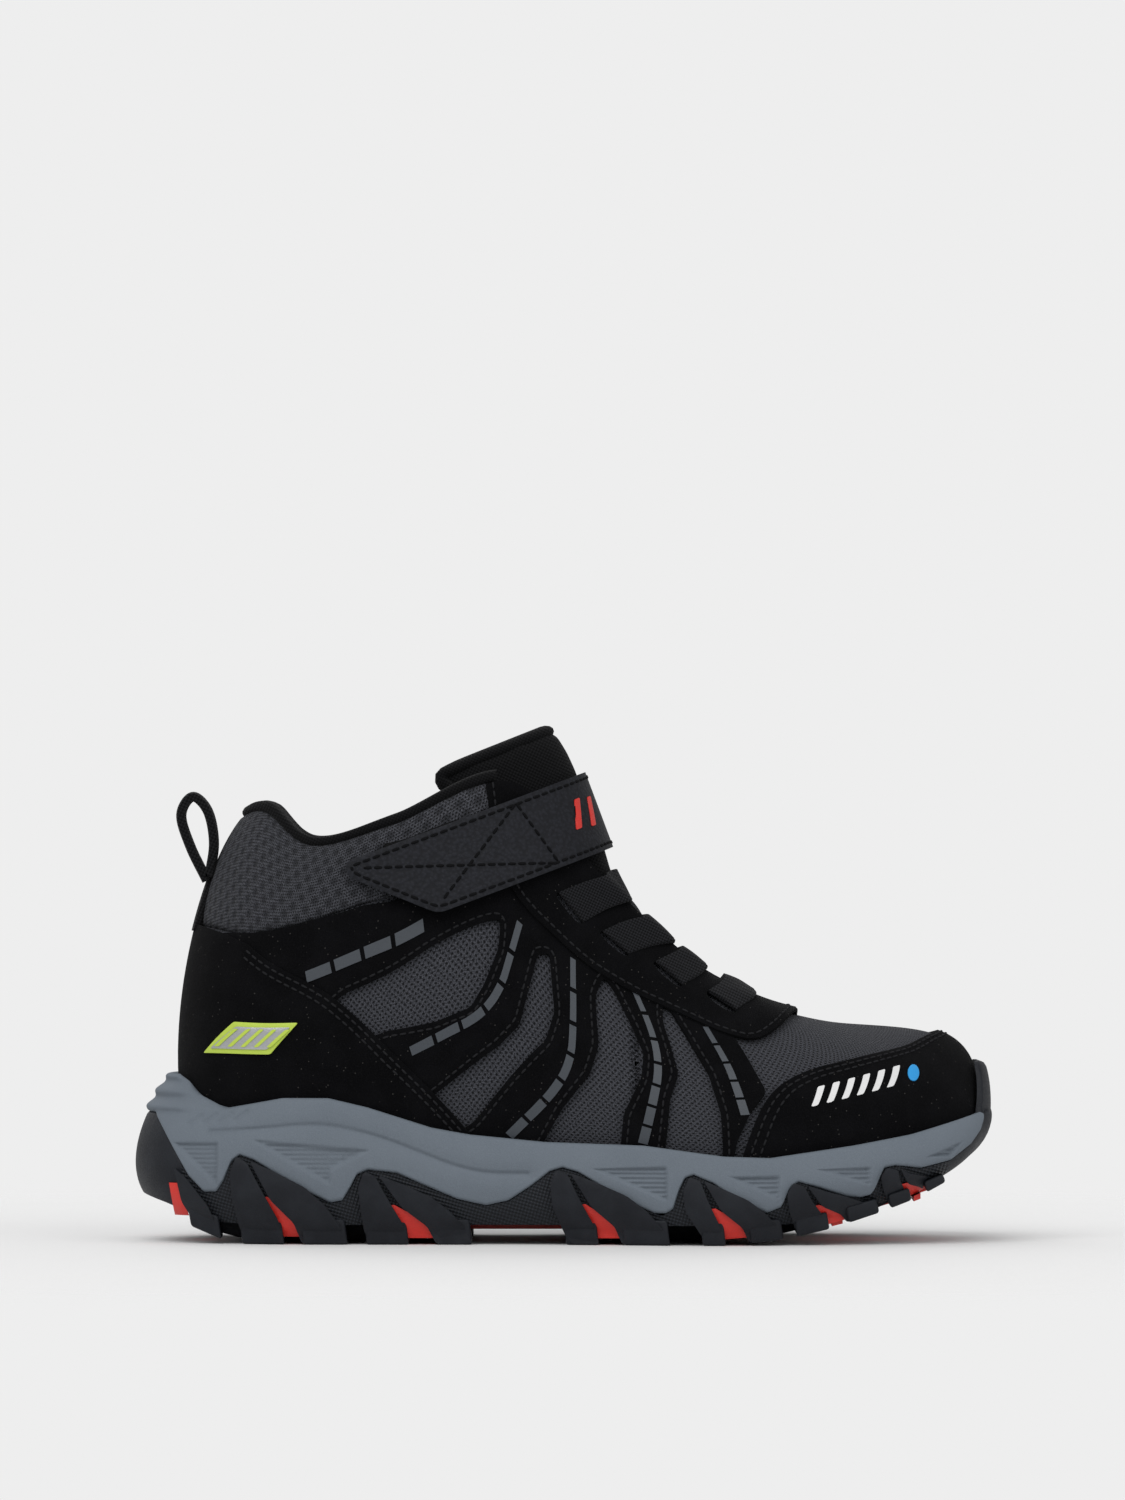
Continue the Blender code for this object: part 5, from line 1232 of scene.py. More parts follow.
def wall_panel(name, loop, depth_in, depth_out, side, look, edge):
    """A bevelled sheet on the sole's wall from a side-view loop (x, z)."""
    points, faces = fill(loop, [], 1.6)
    u, h = WALL.locate(points[:, 0], points[:, 1])
    layers = []
    for depth in (depth_out, depth_in):
        layer = WALL.at(u, h, depth)
        layer[:, 0], layer[:, 2] = points.T
        layers.append(placed(layer, side))
    return closed_sheet(name, points, faces, layers[0], layers[1], LOOKS[look], look, edge=edge)


def joined(name, pieces):
    """One piece from several."""
    with bpy.context.temp_override(active_object=pieces[0], object=pieces[0],
                                   selected_objects=pieces, selected_editable_objects=pieces):
        bpy.ops.object.join()
    pieces[0].name = name
    return pieces[0]


def lug_block(low, high, rounding, segments):
    """A rubber block between the four corners of its foot and of its top, with rounded edges."""
    faces = [(3, 2, 1, 0), (4, 5, 6, 7)] + [(k, (k + 1) % 4, (k + 1) % 4 + 4, k + 4) for k in range(4)]
    obj = add_mesh("lug", np.concatenate([low, high]), faces, LOOKS["rubber"], "boot", "rubber")
    fix_normals(obj)
    return bevelled(obj, rounding, segments)


def make_lug(x0, x1, w_in, side):
    """A tread lug with a flat foot and rounded edges."""
    flat = max(ground(x0), ground(x1)) < 0.05
    low, high = [], []
    for x, edge in ((x0, 0), (x1, 0), (x1, 1), (x0, 1)):
        u, h = WALL.locate(np.array([x]), np.array([ground(x) + 5.0]))
        w = WALL.at(u, h, LUG_PROUD - 0.5)[0, 1] if edge else w_in
        taper = 1.2 if edge else -0.8
        low.append((x, w - taper, 0.0 if flat else ground(x)))
        high.append((x - 0.8, w, float(plate_top(x)) - LUG_BURIED))
    return lug_block(placed(low, side), placed(high, side), 0.7, 3)


def make_centre_lug(x0, x1):
    """A wide block under the middle of the sole, seen in the gaps between the side lugs."""
    xs = np.array([x0, x1, x1, x0], float)
    half = CENTRE_LUG_HALF * np.array([1, 1, -1, -1])
    foot = [max(ground(x), 0) + 0.5 for x in xs]
    low = np.stack([xs + [0.8, -0.8, -0.8, 0.8], half, foot], 1)
    high = np.stack([xs, half, [float(plate_top(x)) - LUG_BURIED for x in xs]], 1)
    return lug_block(placed(low, 1), placed(high, 1), 0.6, 2)


def claw_outlines(crest_x, crest_z, a0, a1, b0, b1):
    """Side-view loops of a claw's steep rear fin and its long front fin, and of the window between."""
    def at(x, share):
        low = ground(x)
        return x, low + 0.2 + (crest_z + 0.9 - low) * share
    span = b1 - crest_x
    mid = a1 + (crest_x - a1) * 0.53
    rear = [at(crest_x - 0.6, 1.0), at(crest_x - 2.2, 0.79), at(crest_x - 1.6, 0.5), at(a0 - 0.6, 0.15),
            at(a0 + 1.6, 0.0), at(a1, 0.0), at(a1 - 1.6, 0.28), at(mid, 0.65), at(crest_x + 2.3, 0.93)]
    gap = b0 - crest_x
    front = [at(crest_x + 3.0, 0.95), at(crest_x + gap * 0.5, 0.5), at(crest_x + gap * 0.85, 0.24),
             at(b0 - 0.4, 0.0),
             at(b1, 0.0), at(b1 - 0.074 * span, 0.22), at(b1 - 0.21 * span, 0.45),
             at(b1 - 0.39 * span, 0.65), at(crest_x + 0.33 * span, 0.83)]
    window = [at(a1 - 1.5, 0.08), at(a1 - 2.5, 0.26), at(mid - 0.5, 0.52), at(mid + 2.0, 0.54),
              at(crest_x + gap * 0.9, 0.27), at(b0 + 1.5, 0.08)]
    return rear, front, window


def make_claws():
    """The side fins with their lugs, the red windows between them, and the blocks under the middle."""
    pieces, windows = [], []

    def add_fin(loop, side):
        smooth = chaikin(resampled(loop, 2.5), 2)
        pieces.append(wall_panel("fin", smooth, -1.0, LUG_PROUD, side, "rubber", 0.6))

    def add_window(loop, side):
        windows.append(wall_panel("window", resampled(loop, 1.5), -0.6, 0.5, side, "red", 0.2))

    for side in (OUTER, INNER):
        for claw in CLAWS:
            rear, front, window = claw_outlines(*claw)
            add_fin(rear, side)
            add_fin(front, side)
            add_window(window, side)
            for x0, x1 in (claw[2:4], claw[4:6]):
                pieces.append(make_lug(x0, x1, 12.0 if x1 < 92 else 9.5, side))
        top_x, top_z, x0, x1 = HEEL_FIN
        add_fin([(x0 + 1, ground(x0) + 0.8), (x1, ground(x1) + 0.6), (x1 - 3.5, 10), (top_x, top_z),
                 (top_x - 3.5, top_z + 3), (x0 - 2.5, 11)], side)
        pieces.append(make_lug(x0, x1, 11.0, side))
        add_window([(-102.8, 15.9), (-100.2, 15.9), (-97.6, 7.3), (-101.4, 7.3)], side)
    for x0, x1 in CENTRE_LUGS:
        pieces.append(make_centre_lug(x0, x1))
    joined("outsole_lugs", pieces)
    joined("outsole_windows", windows)


# ---------------------------------------------------------------- padding
PUFF_FRAMES = 20


def inflate(obj, cap, pressure, free, voxel=None):
    """Puffs a closed padded piece with a short cloth simulation, and applies the result.
    Points move at most cap millimetres times free, one share for each point or a rule for them."""
    if voxel:
        remesh = obj.modifiers.new("remesh", "REMESH")
        remesh.mode, remesh.voxel_size = "VOXEL", voxel * MM
        apply_modifiers(obj)
    rest = np.array([v.co for v in obj.data.vertices])
    cloth = obj.modifiers.new("cloth", "CLOTH")
    cloth.settings.quality = 5
    cloth.settings.mass = 0.2
    cloth.settings.tension_stiffness = cloth.settings.compression_stiffness = 12
    cloth.settings.bending_stiffness = 0.4
    cloth.settings.use_pressure = True
    cloth.settings.uniform_pressure_force = pressure
    cloth.settings.effector_weights.gravity = 0
    scene = bpy.context.scene
    for number in range(1, PUFF_FRAMES + 1):
        scene.frame_set(number)
    graph = bpy.context.evaluated_depsgraph_get()
    moved = np.array([v.co for v in obj.evaluated_get(graph).data.vertices])
    obj.modifiers.remove(cloth)
    scene.frame_set(1)
    shift = moved - rest
    size = np.linalg.norm(shift, axis=1)
    share = free(rest / MM + np.array(CENTRE_SHIFT)) if callable(free) else free
    limit = cap * MM * np.clip(share, 0, 1)
    shift *= (np.minimum(size, limit) / np.maximum(size, 1e-9))[:, None]
    obj.data.vertices.foreach_set("co", (rest + shift).ravel())
    if voxel:
        smooth = obj.modifiers.new("smooth", "SUBSURF")
        smooth.levels = smooth.render_levels = 1
        apply_modifiers(obj)
    obj.data.update()
    obj.data.shade_smooth()


# ---------------------------------------------------------------- the upper
def make_band(name, g0, g1, v0, v1, d_in, d_out, look, slot, steps, rows, replaces=()):
    """A fine closed sheet on the upper between loop positions and heights. The outer depth is one
    number, or one for each row of points."""
    g = np.linspace(g0, g1, steps + 1)
    u, _ = around(g)
    share = np.linspace(0, 1, rows + 1)
    v = v0(u)[:, None] * (1 - share) + v1(u)[:, None] * share
    gg = np.repeat(g[:, None], rows + 1, axis=1)
    layers = [on_loop(upper, gg, v, depth).reshape(steps + 1, rows + 1, 3) for depth in (d_out, d_in)]
    points, faces = shell_mesh(layers[0], layers[1])
    uv = np.stack([gg.ravel() * U_SPAN, v.ravel() * V_SPAN], 1)
    obj = add_mesh(name, points, faces, LOOKS[look], "boot", slot, np.concatenate([uv, uv]), replaces)
    fix_normals(obj)
    return obj


def fixed(value):
    return lambda u: np.full(len(u), float(value))


def seam_v(u):
    return v_at_height(u, COLLAR_SEAM)


def make_textiles():
    """The knit of the vamp, the two quarters and the collar."""
    make_band("vamp_knit", 0.585, 1.415, fixed(0.0), fixed(0.99), -MESH_THICK, 0.0, "mesh", "mesh",
              150, 50, ["vamp_mesh"])
    for sign, tag in ((1, "outer"), (-1, "inner")):
        make_band(f"quarter_knit_{tag}", 0.0, sign * 0.595, fixed(0.0),
                  lambda u: np.where(u < 0.44, np.minimum(seam_v(u), 0.99), 0.99), -MESH_THICK, 0.0,
                  "mesh", "mesh", 130, 50, [f"quarter_mesh_{tag}"])
    make_collar()


def make_collar():
    """The collar's padded mesh, highest in its middle, puffed a little, with its edges held."""
    steps, rows = 170, 26
    arch = np.sin(math.pi * np.linspace(0, 1, rows + 1))
    collar = make_band("collar_knit", -COLLAR_END, COLLAR_END, lambda u: seam_v(u) - 0.004,
                       fixed(THROAT_V), -MESH_THICK - 0.3, 0.2 + 1.5 * arch ** 0.6, "collar", "mesh",
                       steps, rows, ["collar_mesh"])
    along_band = np.clip(np.minimum(np.arange(steps + 1), steps - np.arange(steps + 1)) / 12, 0, 1)
    free = along_band[:, None] * arch[None] ** 0.5
    inflate(collar, 0.7, 3.0, np.concatenate([free.ravel(), np.zeros(free.size)]))


def make_binding():
    """Rounded textile edge round the collar's top."""
    steps, section = 170, 20
    g = np.linspace(-COLLAR_END, COLLAR_END, steps + 1)
    u, side = around(g)
    inner_edge, outer_edge = lining_depth(u, np.ones(len(u))) - LINING_THICK - 0.3, 1.3
    middle, half = (inner_edge + outer_edge) / 2, (outer_edge - inner_edge) / 2
    rings = []
    for k in range(section):
        angle = 2 * math.pi * (k + 0.5) / section
        across, up = (math.copysign(abs(f) ** 0.7, f) for f in (math.cos(angle), math.sin(angle)))
        v = np.full(len(u), 1.0 + 0.021 * up - 0.016 * (across < 0))
        rings.append(placed(upper(u, v, middle + half * across), side))
    obj = add_mesh("collar_tape", np.stack(rings, 1).reshape(-1, 3), tube_faces(steps + 1, section),
                   LOOKS["binding"], "boot", "lining", replaces=["collar_binding"])
    fix_normals(obj)


def make_lining():
    """The bootie inside the upper, a shell of two layers of rings, and the footbed."""
    g = ring_points(90)
    u, side = around(g)
    top = 0.97 - 0.13 * np.clip((u - 0.46) / 0.06, 0, 1)
    rings = []
    shares = np.linspace(0, 1, 22)
    for extra, order in ((0.0, shares), (LINING_THICK, shares[::-1])):
        for share in order:
            v = top * share
            ring = upper(u, v, lining_depth(u, v) - extra)
            if share == 0:
                ring[:, 2] = board_height(ring[:, 0]) + 0.8 + extra
            rings.append(placed(ring, side))
    loft_mesh("bootie_lining", rings, "lining", "lining", ["lining_bootie"])
    g = ring_points(60)
    loft_mesh("cushion_footbed", [lasting_ring(g, 5.8, 2.1), lasting_ring(g, 5.3, 4.0),
                                  lasting_ring(g, 5.5, 6.0), lasting_ring(g, 6.3, 6.6),
                                  lasting_ring(g, 8.0, 5.6), lasting_ring(g, 11.0, 4.6)],
              "lining", "lining", ["footbed"])


def nubuck_panel(name, loop, holes, low, high, replaced, edge=0.35):
    fine_panel(name, loop, holes, low, high, LOOKS["nubuck"], "nubuck", [replaced], edge=edge)


def make_overlays():
    """Heel covers, cages and toe cap in nubuck, with their stitch rows."""
    grey = Stitching()
    for side, tag in ((OUTER, "outer"), (INNER, "inner")):
        sign = 1 if side == OUTER else -1
        heel_line = side_chart(HEEL_EDGE, side)
        back_v = seam_v(np.array([0.004]))[0]
        diagonal = chaikin(heel_line * CHART_SCALE, 3, closed=False)
        corner = np.array([[0.0, 0.05], [0.0, back_v]]) * CHART_SCALE
        end = np.array([[heel_line[-1][0], 0.05]]) * CHART_SCALE
        nubuck_panel(f"heel_cover_{tag}_nubuck", np.concatenate([corner, diagonal, end]), [], COVER_LOW,
                     COVER_HIGH, f"heel_cover_{tag}")
        for inset in (1.3, 3.0):
            sew_line(grey, diagonal, COVER_HIGH, -sign * inset)
        cage = side_loop(CAGE_FINE, side)
        windows = [side_loop(window, side) for window in WINDOWS_FINE]
        nubuck_panel(f"cage_{tag}_nubuck", cage, windows, 0.0, OVERLAY_OUT, f"cage_{tag}")
        for window in windows:
            outwards = -1.3 if turns_left(window) else 1.3
            sew_line(grey, window, OVERLAY_OUT, outwards, closed=True)
    edge = chart(TOE_CAP_EDGE)
    line = np.array(both_sides(edge, centre_v(TOE_CAP_TIP_X))) * CHART_SCALE
    line = chaikin(line, 3, closed=False)
    foot = np.array([(2 - edge[0][0], 0.05), (edge[0][0], 0.05)]) * CHART_SCALE
    nubuck_panel("toe_cap_nubuck", np.concatenate([line, foot]), [], 0.0, OVERLAY_OUT, "toe_cap")
    for inset in (1.4, 3.1):
        sew_line(grey, line, OVERLAY_OUT, -inset)
    make_eyestay(grey)
    grey.make("seam_stitches", LOOKS["thread"], "nubuck")


def make_eyestay(stitches):
    """The nubuck band round the throat, slit for the laces and stitched along its outer edge."""
    outline = np.array(eyestay_outline()) * CHART_SCALE
    line = chaikin(outline[:-THROAT_POINTS], 2, closed=False)
    loop = np.concatenate([line, outline[-THROAT_POINTS:]])
    slots = [slot_loop(np.array(slit), np.array(along_slit), sign)
             for slit, along_slit, _ in LACES for sign in (1, -1)]
    nubuck_panel("eyestay_nubuck", loop, slots, EYESTAY_LOW, EYESTAY_HIGH, "eyestay", edge=0.45)
    sew_line(stitches, line, EYESTAY_HIGH, 1.5)


def slot_loop(slit, along_slit, sign):
    """A lace slit as a thin loop in the chart's millimetres, on the outer (1) or inner (-1) side."""
    way = along_slit / np.linalg.norm(along_slit)
    across = np.array([-way[1], way[0]])
    half = np.linalg.norm(along_slit) / 2 + 1.0
    corners = [slit + way * half * a + across * 0.9 * b - across * 0.4
               for a, b in ((-1, -1), (1, -1), (1, 1), (-1, 1))]
    loop = chart(corners)
    if sign < 0:
        loop[:, 0] = 2 - loop[:, 0]
    return chaikin(loop * CHART_SCALE, 2)


def make_reflective():
    """Short reflective dashes pressed on the cage's bars."""
    pieces = []
    for side in (OUTER, INNER):
        for line, wide, dashes in REFLECTIVE:
            path = chaikin(side_chart(line, side) * CHART_SCALE, 2, closed=False)
            place = arc_lengths(path)
            pitch = place[-1] / dashes
            for k in range(dashes):
                at = np.linspace(pitch * (k + 0.07), pitch * (k + 0.93), 6)
                middle = np.stack([np.interp(at, place, path[:, a]) for a in (0, 1)], 1)
                half = np.interp(k, (0, dashes), wide) / 2
                loop = np.concatenate([offset_line(middle, half, False),
                                       offset_line(middle, -half, False)[::-1]])
                pieces.append(fine_panel("dash", loop, [], OVERLAY_OUT - 0.3, OVERLAY_OUT + 0.22,
                                         LOOKS["reflective"], "nubuck", edge=0.0, spacing=1.6))
    joined("reflective_dashes", pieces)


def side_piece(name, outline, d_in, d_out, look, slot, rounds=2, replaces=(), edge=0.12):
    line = resampled(side_chart(outline, OUTER) * CHART_SCALE, 1.6)
    return fine_panel(name, chaikin(line, rounds), [], d_in, d_out, LOOKS[look], slot, replaces,
                      spacing=1.5, edge=edge)


def make_emblems():
    """Plain generic marks: a lime and silver slanted panel, white bars and a dot on the toe."""
    side_piece("emblem_border", EMBLEM_OUTLINE, COVER_HIGH - 0.4, COVER_HIGH + 0.5, "lime", "emblem", 2,
               ["heel_emblem"])
    middle = np.mean(EMBLEM_OUTLINE, axis=0)
    smaller = [tuple(middle + (np.array(p) - middle) * (0.84, 0.70)) for p in EMBLEM_OUTLINE]
    side_piece("emblem_face", smaller, COVER_HIGH, COVER_HIGH + 0.8, "silver", "emblem", 2)
    bars = []
    for x in np.arange(-86.5, -73, 3.2):
        low, high = np.array((x - 2.6, 51.4)), np.array((x + 2.2, 56.0))
        bars.append(side_piece("bar", [low, low + (1.1, 0), high + (1.1, 0), high], COVER_HIGH,
                               COVER_HIGH + 1.0, "lime", "emblem", 1, edge=0.0))
    joined("emblem_bars", bars)
    marks = []
    for x, z in TOE_BARS:
        marks.append(side_piece("mark", [(x - 1.9, z - 2.6), (x - 0.1, z - 2.2), (x + 1.7, z + 2.8),
                                         (x - 0.1, z + 2.4)], OVERLAY_OUT - 0.3, OVERLAY_OUT + 0.2,
                                "white", "emblem", 1, edge=0.0))
    joined("toe_bars", marks)
    turn = np.linspace(0, 2 * math.pi, 18, endpoint=False)
    dot = [(TOE_DOT[0] + 1.5 * math.cos(a), TOE_DOT[1] + 2.0 * math.sin(a)) for a in turn]
    side_piece("toe_dot", dot, OVERLAY_OUT - 0.3, OVERLAY_OUT + 0.25, "blue", "emblem", 0)


# ---------------------------------------------------------------- tongue and laces
def make_tongue():
    """Padded tongue: one crowned closed form, its edge wrapped in tape at the top."""
    rows, section = 110, 72
    r = np.linspace(0, 1, rows)
    phi = 2 * math.pi * (np.arange(section) + 0.5) / section
    c, s = np.cos(phi), np.sin(phi)
    t = np.sign(c) * np.abs(c) ** 0.75
    lift = np.sign(s) * np.abs(s) ** 0.7
    rr = np.repeat(r[:, None], section, 1)
    tt, ll = np.repeat(t[None], rows, 0), np.repeat(lift[None], rows, 0)
    thin = np.clip(0.4 + rr * 2.2, 0, 1)
    end = np.sqrt(np.clip(1 - (np.clip(rr - 0.965, 0, 1) / 0.036) ** 2, 0.02, 1))
    height = (-2.95 + 3.4 * ll * end) * thin
    points = placed(tongue_surface(rr, tt * (0.97 + 0.03 * end), height), 1)
    obj = add_mesh("tongue_padding", points, tube_faces(rows, section), LOOKS["lining"], "tongue",
                   "lining", replaces=["tongue_face", "tongue_foam", "tongue_lining"])
    fix_normals(obj)
    inflate(obj, 1.6, 4.0, lambda at: (at[:, 2] - 95) / 12, voxel=2.4)
    make_tongue_tape()


TAPE_SIDES, TAPE_RADII = 14, (2.0, 3.2)      # the tongue tape's section: flat side, deep side


def make_tongue_tape():
    """Tape round the tongue's free edge, over its top."""
    side_r = np.linspace(0.55, 0.985, 40)
    top_t = np.linspace(-0.96, 0.96, 41)
    r = np.concatenate([side_r, np.full(41, 0.992), side_r[::-1]])
    t = np.concatenate([np.full(40, -0.985), top_t, np.full(40, 0.985)])
    path = placed(tongue_surface(r, t, np.full(len(r), -2.95)), 1)
    for _ in range(6):
        path[1:-1] = (path[:-2] + 2 * path[1:-1] + path[2:]) / 4
    out = placed(tongue_surface(r, t, np.full(len(r), 0.0)), 1) - path
    way = np.gradient(path, axis=0)
    way /= np.linalg.norm(way, axis=1)[:, None]
    across = np.cross(way, out)
    across /= np.linalg.norm(across, axis=1)[:, None]
    up = np.cross(across, way)
    angles = 2 * math.pi * np.arange(TAPE_SIDES) / TAPE_SIDES
    rings = (path[:, None] + np.cos(angles)[None, :, None] * across[:, None] * TAPE_RADII[0]
             + np.sin(angles)[None, :, None] * up[:, None] * TAPE_RADII[1])
    obj = add_mesh("tongue_tape", rings.reshape(-1, 3), tube_faces(len(path), TAPE_SIDES),
                   LOOKS["binding"], "tongue", "lining")
    fix_normals(obj)


def lace_grid(slit, along_slit, r0):
    """A lace's inner and outer faces, each a grid of points from slit to slit and across it."""
    size = np.linalg.norm(along_slit)
    rows = []
    for edge in np.linspace(-0.62, 0.62, 9):
        at, r = slit + along_slit * edge, r0 - edge * size / TONGUE_LENGTH
        low = lace_edge(at, r, EYESTAY_HIGH - 0.6, 2.6, 1.2)
        high = lace_edge(at, r, EYESTAY_HIGH + 0.4, 3.6, 2.2)
        crown = 0.35 * (1 - (edge / 0.62) ** 2)
        rows.append((placed(low, OUTER), placed(high + (high - low) * crown, OUTER)))
    faces = (np.stack(side, 1) for side in zip(*rows))
    return [catmull(face, np.linspace(0, 1, (len(face) - 1) * 4 + 1)) for face in faces]


def elastic_sheet(name, high, low, body, weave_step, **options):
    """A flat elastic between two grids of points."""
    points, faces = shell_mesh(high, low)
    n, m = high.shape[:2]
    uv = np.stack(np.meshgrid(np.arange(n) * weave_step, np.arange(m) * 1.0, indexing="ij"), -1)
    uv = uv.reshape(-1, 2)
    obj = add_mesh(name, points, faces, LOOKS["elastic"], body, "webbing", np.concatenate([uv, uv]),
                   **options)
    fix_normals(obj)
    return bevelled(obj, 0.3, 2, 60)


def make_laces():
    """Flat elastics; each half bends between the boot and the tongue."""
    for k, (slit, along_slit, r0) in enumerate(LACES):
        low, high = lace_grid(np.array(slit), np.array(along_slit), r0)
        middle = len(low) // 2
        halves = ((slice(0, middle + 1), "outer"), (slice(middle, len(low)), "inner"))
        for part, tag in halves:
            obj = elastic_sheet(f"lace_{k + 1}_{tag}", high[part], low[part], "boot", 0.55,
                                replaces=[f"elastic_lace_{k + 1}"], ride=False)
            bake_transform(obj)


def make_crossings():
    """The lengths of elastic that cross the tongue from one row down to the next."""
    for k in range(len(LACES) - 1):
        r0, r1 = LACES[k][2] - 0.02, LACES[k + 1][2] + 0.02
        t = np.linspace(0.8, -0.8, 41)
        r = r0 + (r1 - r0) * (0.8 - t) / 1.6
        across = np.linspace(-0.5, 0.5, 8)
        rr = r[:, None] + across[None] * 6.5 / TONGUE_LENGTH
        tt = np.repeat(t[:, None], len(across), 1)
        lift = 0.7 + 0.25 * (1 - (2 * across[None]) ** 2) + 0 * rr
        grids = [placed(tongue_surface(rr, tt, lift + thick), 1).reshape(*rr.shape, 3)
                 for thick in (1.0, 0.0)]
        elastic_sheet(f"lace_crossing_{k + 1}", grids[0], grids[1], "tongue", 0.6)


# ---------------------------------------------------------------- strap and pull loop
def strap_low(s):
    """Lower edge of the strap, rising to its tip."""
    rise = np.clip((STRAP_CORNER - s) / (STRAP_CORNER - STRAP_TIP), 0, 1)
    return -STRAP_WIDTH / 2 + rise * (STRAP_WIDTH - 4.0)


def strap_outline(s0, s1, rounded):
    """The strap's outline in (s, q), with its tip's corners rounded."""
    high = STRAP_WIDTH / 2
    if not rounded:
        return np.array([(s0, -high), (s1, -high), (s1, high), (s0, high)], float)
    corners = np.array([(s1, high), (STRAP_TIP, high), (STRAP_TIP, strap_low(STRAP_TIP)),
                        (STRAP_CORNER, -high), (s1, -high)])
    rounded_points = [corners[0]]
    for k in (1, 2, 3):
        before, here, after = corners[k - 1], corners[k], corners[k + 1]
        if k == 2:                   # the short end's lower corner
            a = here + (before - here) * 0.45
            b = here + (after - here) / np.linalg.norm(after - here) * 1.6
        else:
            a = here + (before - here) / np.linalg.norm(before - here) * 2.4
            b = here + (after - here) / np.linalg.norm(after - here) * 2.4
        rounded_points += [(1 - f) ** 2 * a + 2 * f * (1 - f) * here + f * f * b
                           for f in np.linspace(0, 1, 6)]
    return np.array(rounded_points + [corners[-1]])


FOLD_RUN = 7.0                       # how far a fold's bend would reach on each side of its line; no piece is bent


def bend_strap(obj, tip, hinge):
    """Bakes a strap piece's placement into its points. It works out where a fold about one of its fold
    lines would start and end, later for the strap's end, but does not turn the piece."""
    way = math.copysign(FOLD_RUN, hinge) * (1 if tip == "strap_end" else -1)
    lead = 0.3 if tip == "strap_end" else 1.0
    start = strap_point([hinge - way * lead], [0.0], [0.5])[0]
    end = strap_point([hinge + way], [0.0], [0.5])[0]
    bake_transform(obj)


def strap_sheet(name, loop, out_low, out_high, look, slot, replaces=(), edge=0.45, spacing=1.8):
    points, faces = fill(loop, [], spacing)
    s, q = points.T
    outer = strap_point(s, q, np.full(len(s), out_high))
    inner = strap_point(s, q, np.full(len(s), out_low))
    return closed_sheet(name, points, faces, outer, inner, LOOKS[look], slot, replaces, edge, ride=False)


def strap_stitches(name, lines, tip, hinge):
    sewing = Stitching()
    for line in lines:
        dense = resampled(np.asarray(line, float), 0.8, closed=False)
        path = strap_point(dense[:, 0], dense[:, 1], np.full(len(dense), STRAP_THICK + 0.02))
        up = strap_point(dense[:, 0], dense[:, 1], np.full(len(dense), STRAP_THICK + 1.02)) - path
        sewing.row(path, up, pitch=2.7, length=2.1, radius=0.38)
    bend_strap(sewing.make(name, LOOKS["dark_thread"], "strap", ride=False), tip, hinge)


STRAP_HEM = 1.5                      # how far its stitches run inside the strap's ends


def make_strap():
    near = strap_sheet("strap_near", strap_outline(STRAP_TIP, 0.0, True), 0.0, STRAP_THICK, "strap",
                       "strap", ["strap_end"])
    bend_strap(near, "strap_end", STRAP_PEEL_AT)
    far = strap_sheet("strap_far", strap_outline(0.0, STRAP_SEWN_END, False), 0.0, STRAP_THICK, "strap",
                      "strap", ["strap_front", "strap_base"])
    bend_strap(far, "strap_front", STRAP_OPEN_AT)
    edge = strap_outline(STRAP_TIP, 0.0, True)
    edge = offset_line(edge, STRAP_HEM if strap_turns_in(edge) else -STRAP_HEM, False)
    high, low = STRAP_WIDTH / 2 - 1.2, 1.2 - STRAP_WIDTH / 2
    pattern = [edge, [(-33.5, high), (-28.0, low)], [(-33.5, high), (-61.0, -8.0)],
               [(-77.0, 7.5), (-28.0, low)]]
    strap_stitches("strap_stitches_near", pattern, "strap_end", STRAP_PEEL_AT)
    last = STRAP_SEWN_END - STRAP_HEM
    rows = [[(0.0, high), (last, high)], [(0.0, low), (last, low)], [(last, low), (last, high)],
            [(STRAP_OPEN_AT + 5, low), (STRAP_OPEN_AT + 5, high)]]
    strap_stitches("strap_stitches_far", rows, "strap_front", STRAP_OPEN_AT)
    for k, (s, q) in enumerate(STRAP_MARKS):
        loop = np.array([(s - 3.0, q - 3.8), (s - 0.8, q - 3.8), (s + 2.6, q + 3.8), (s + 0.4, q + 3.8)])
        mark = strap_sheet(f"strap_bar_{k + 1}", chaikin(resampled(loop, 1.3), 1), STRAP_THICK - 0.3,
                           STRAP_THICK + 0.3, "red", "emblem", edge=0.1, spacing=1.2)
        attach(mark, "strap_front")
    hook_loop = np.array([(-60, -7), (-40, -7), (-40, 7), (-60, 7)], float)
    hook = strap_sheet("hook_patch", chaikin(hook_loop, 2), -1.1, -0.05, "hook", "hook",
                       ["strap_hook_patch"], edge=0.2)
    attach(hook, "strap_end")
    side_piece("loop_patch", LOOP_PATCH_OUTLINE, 0.3, 2.9, "hook", "hook", 1, ["strap_loop_patch"])


def strap_turns_in(line):
    """Whether the strap's inside is on the left of its outline."""
    middle = line[len(line) // 2]
    moved = offset_line(line, 1.0, False)[len(line) // 2]
    return moved[0] > middle[0]


PULL_LOOP_LINE = np.array([(-93.6, 94.5), (-98.0, 103.5), (-100.4, 111.8), (-97.4, 116.6),
                           (-93.4, 112.8), (-91.8, 104.5), (-93.0, 95.5)])     # side view, (x, z)


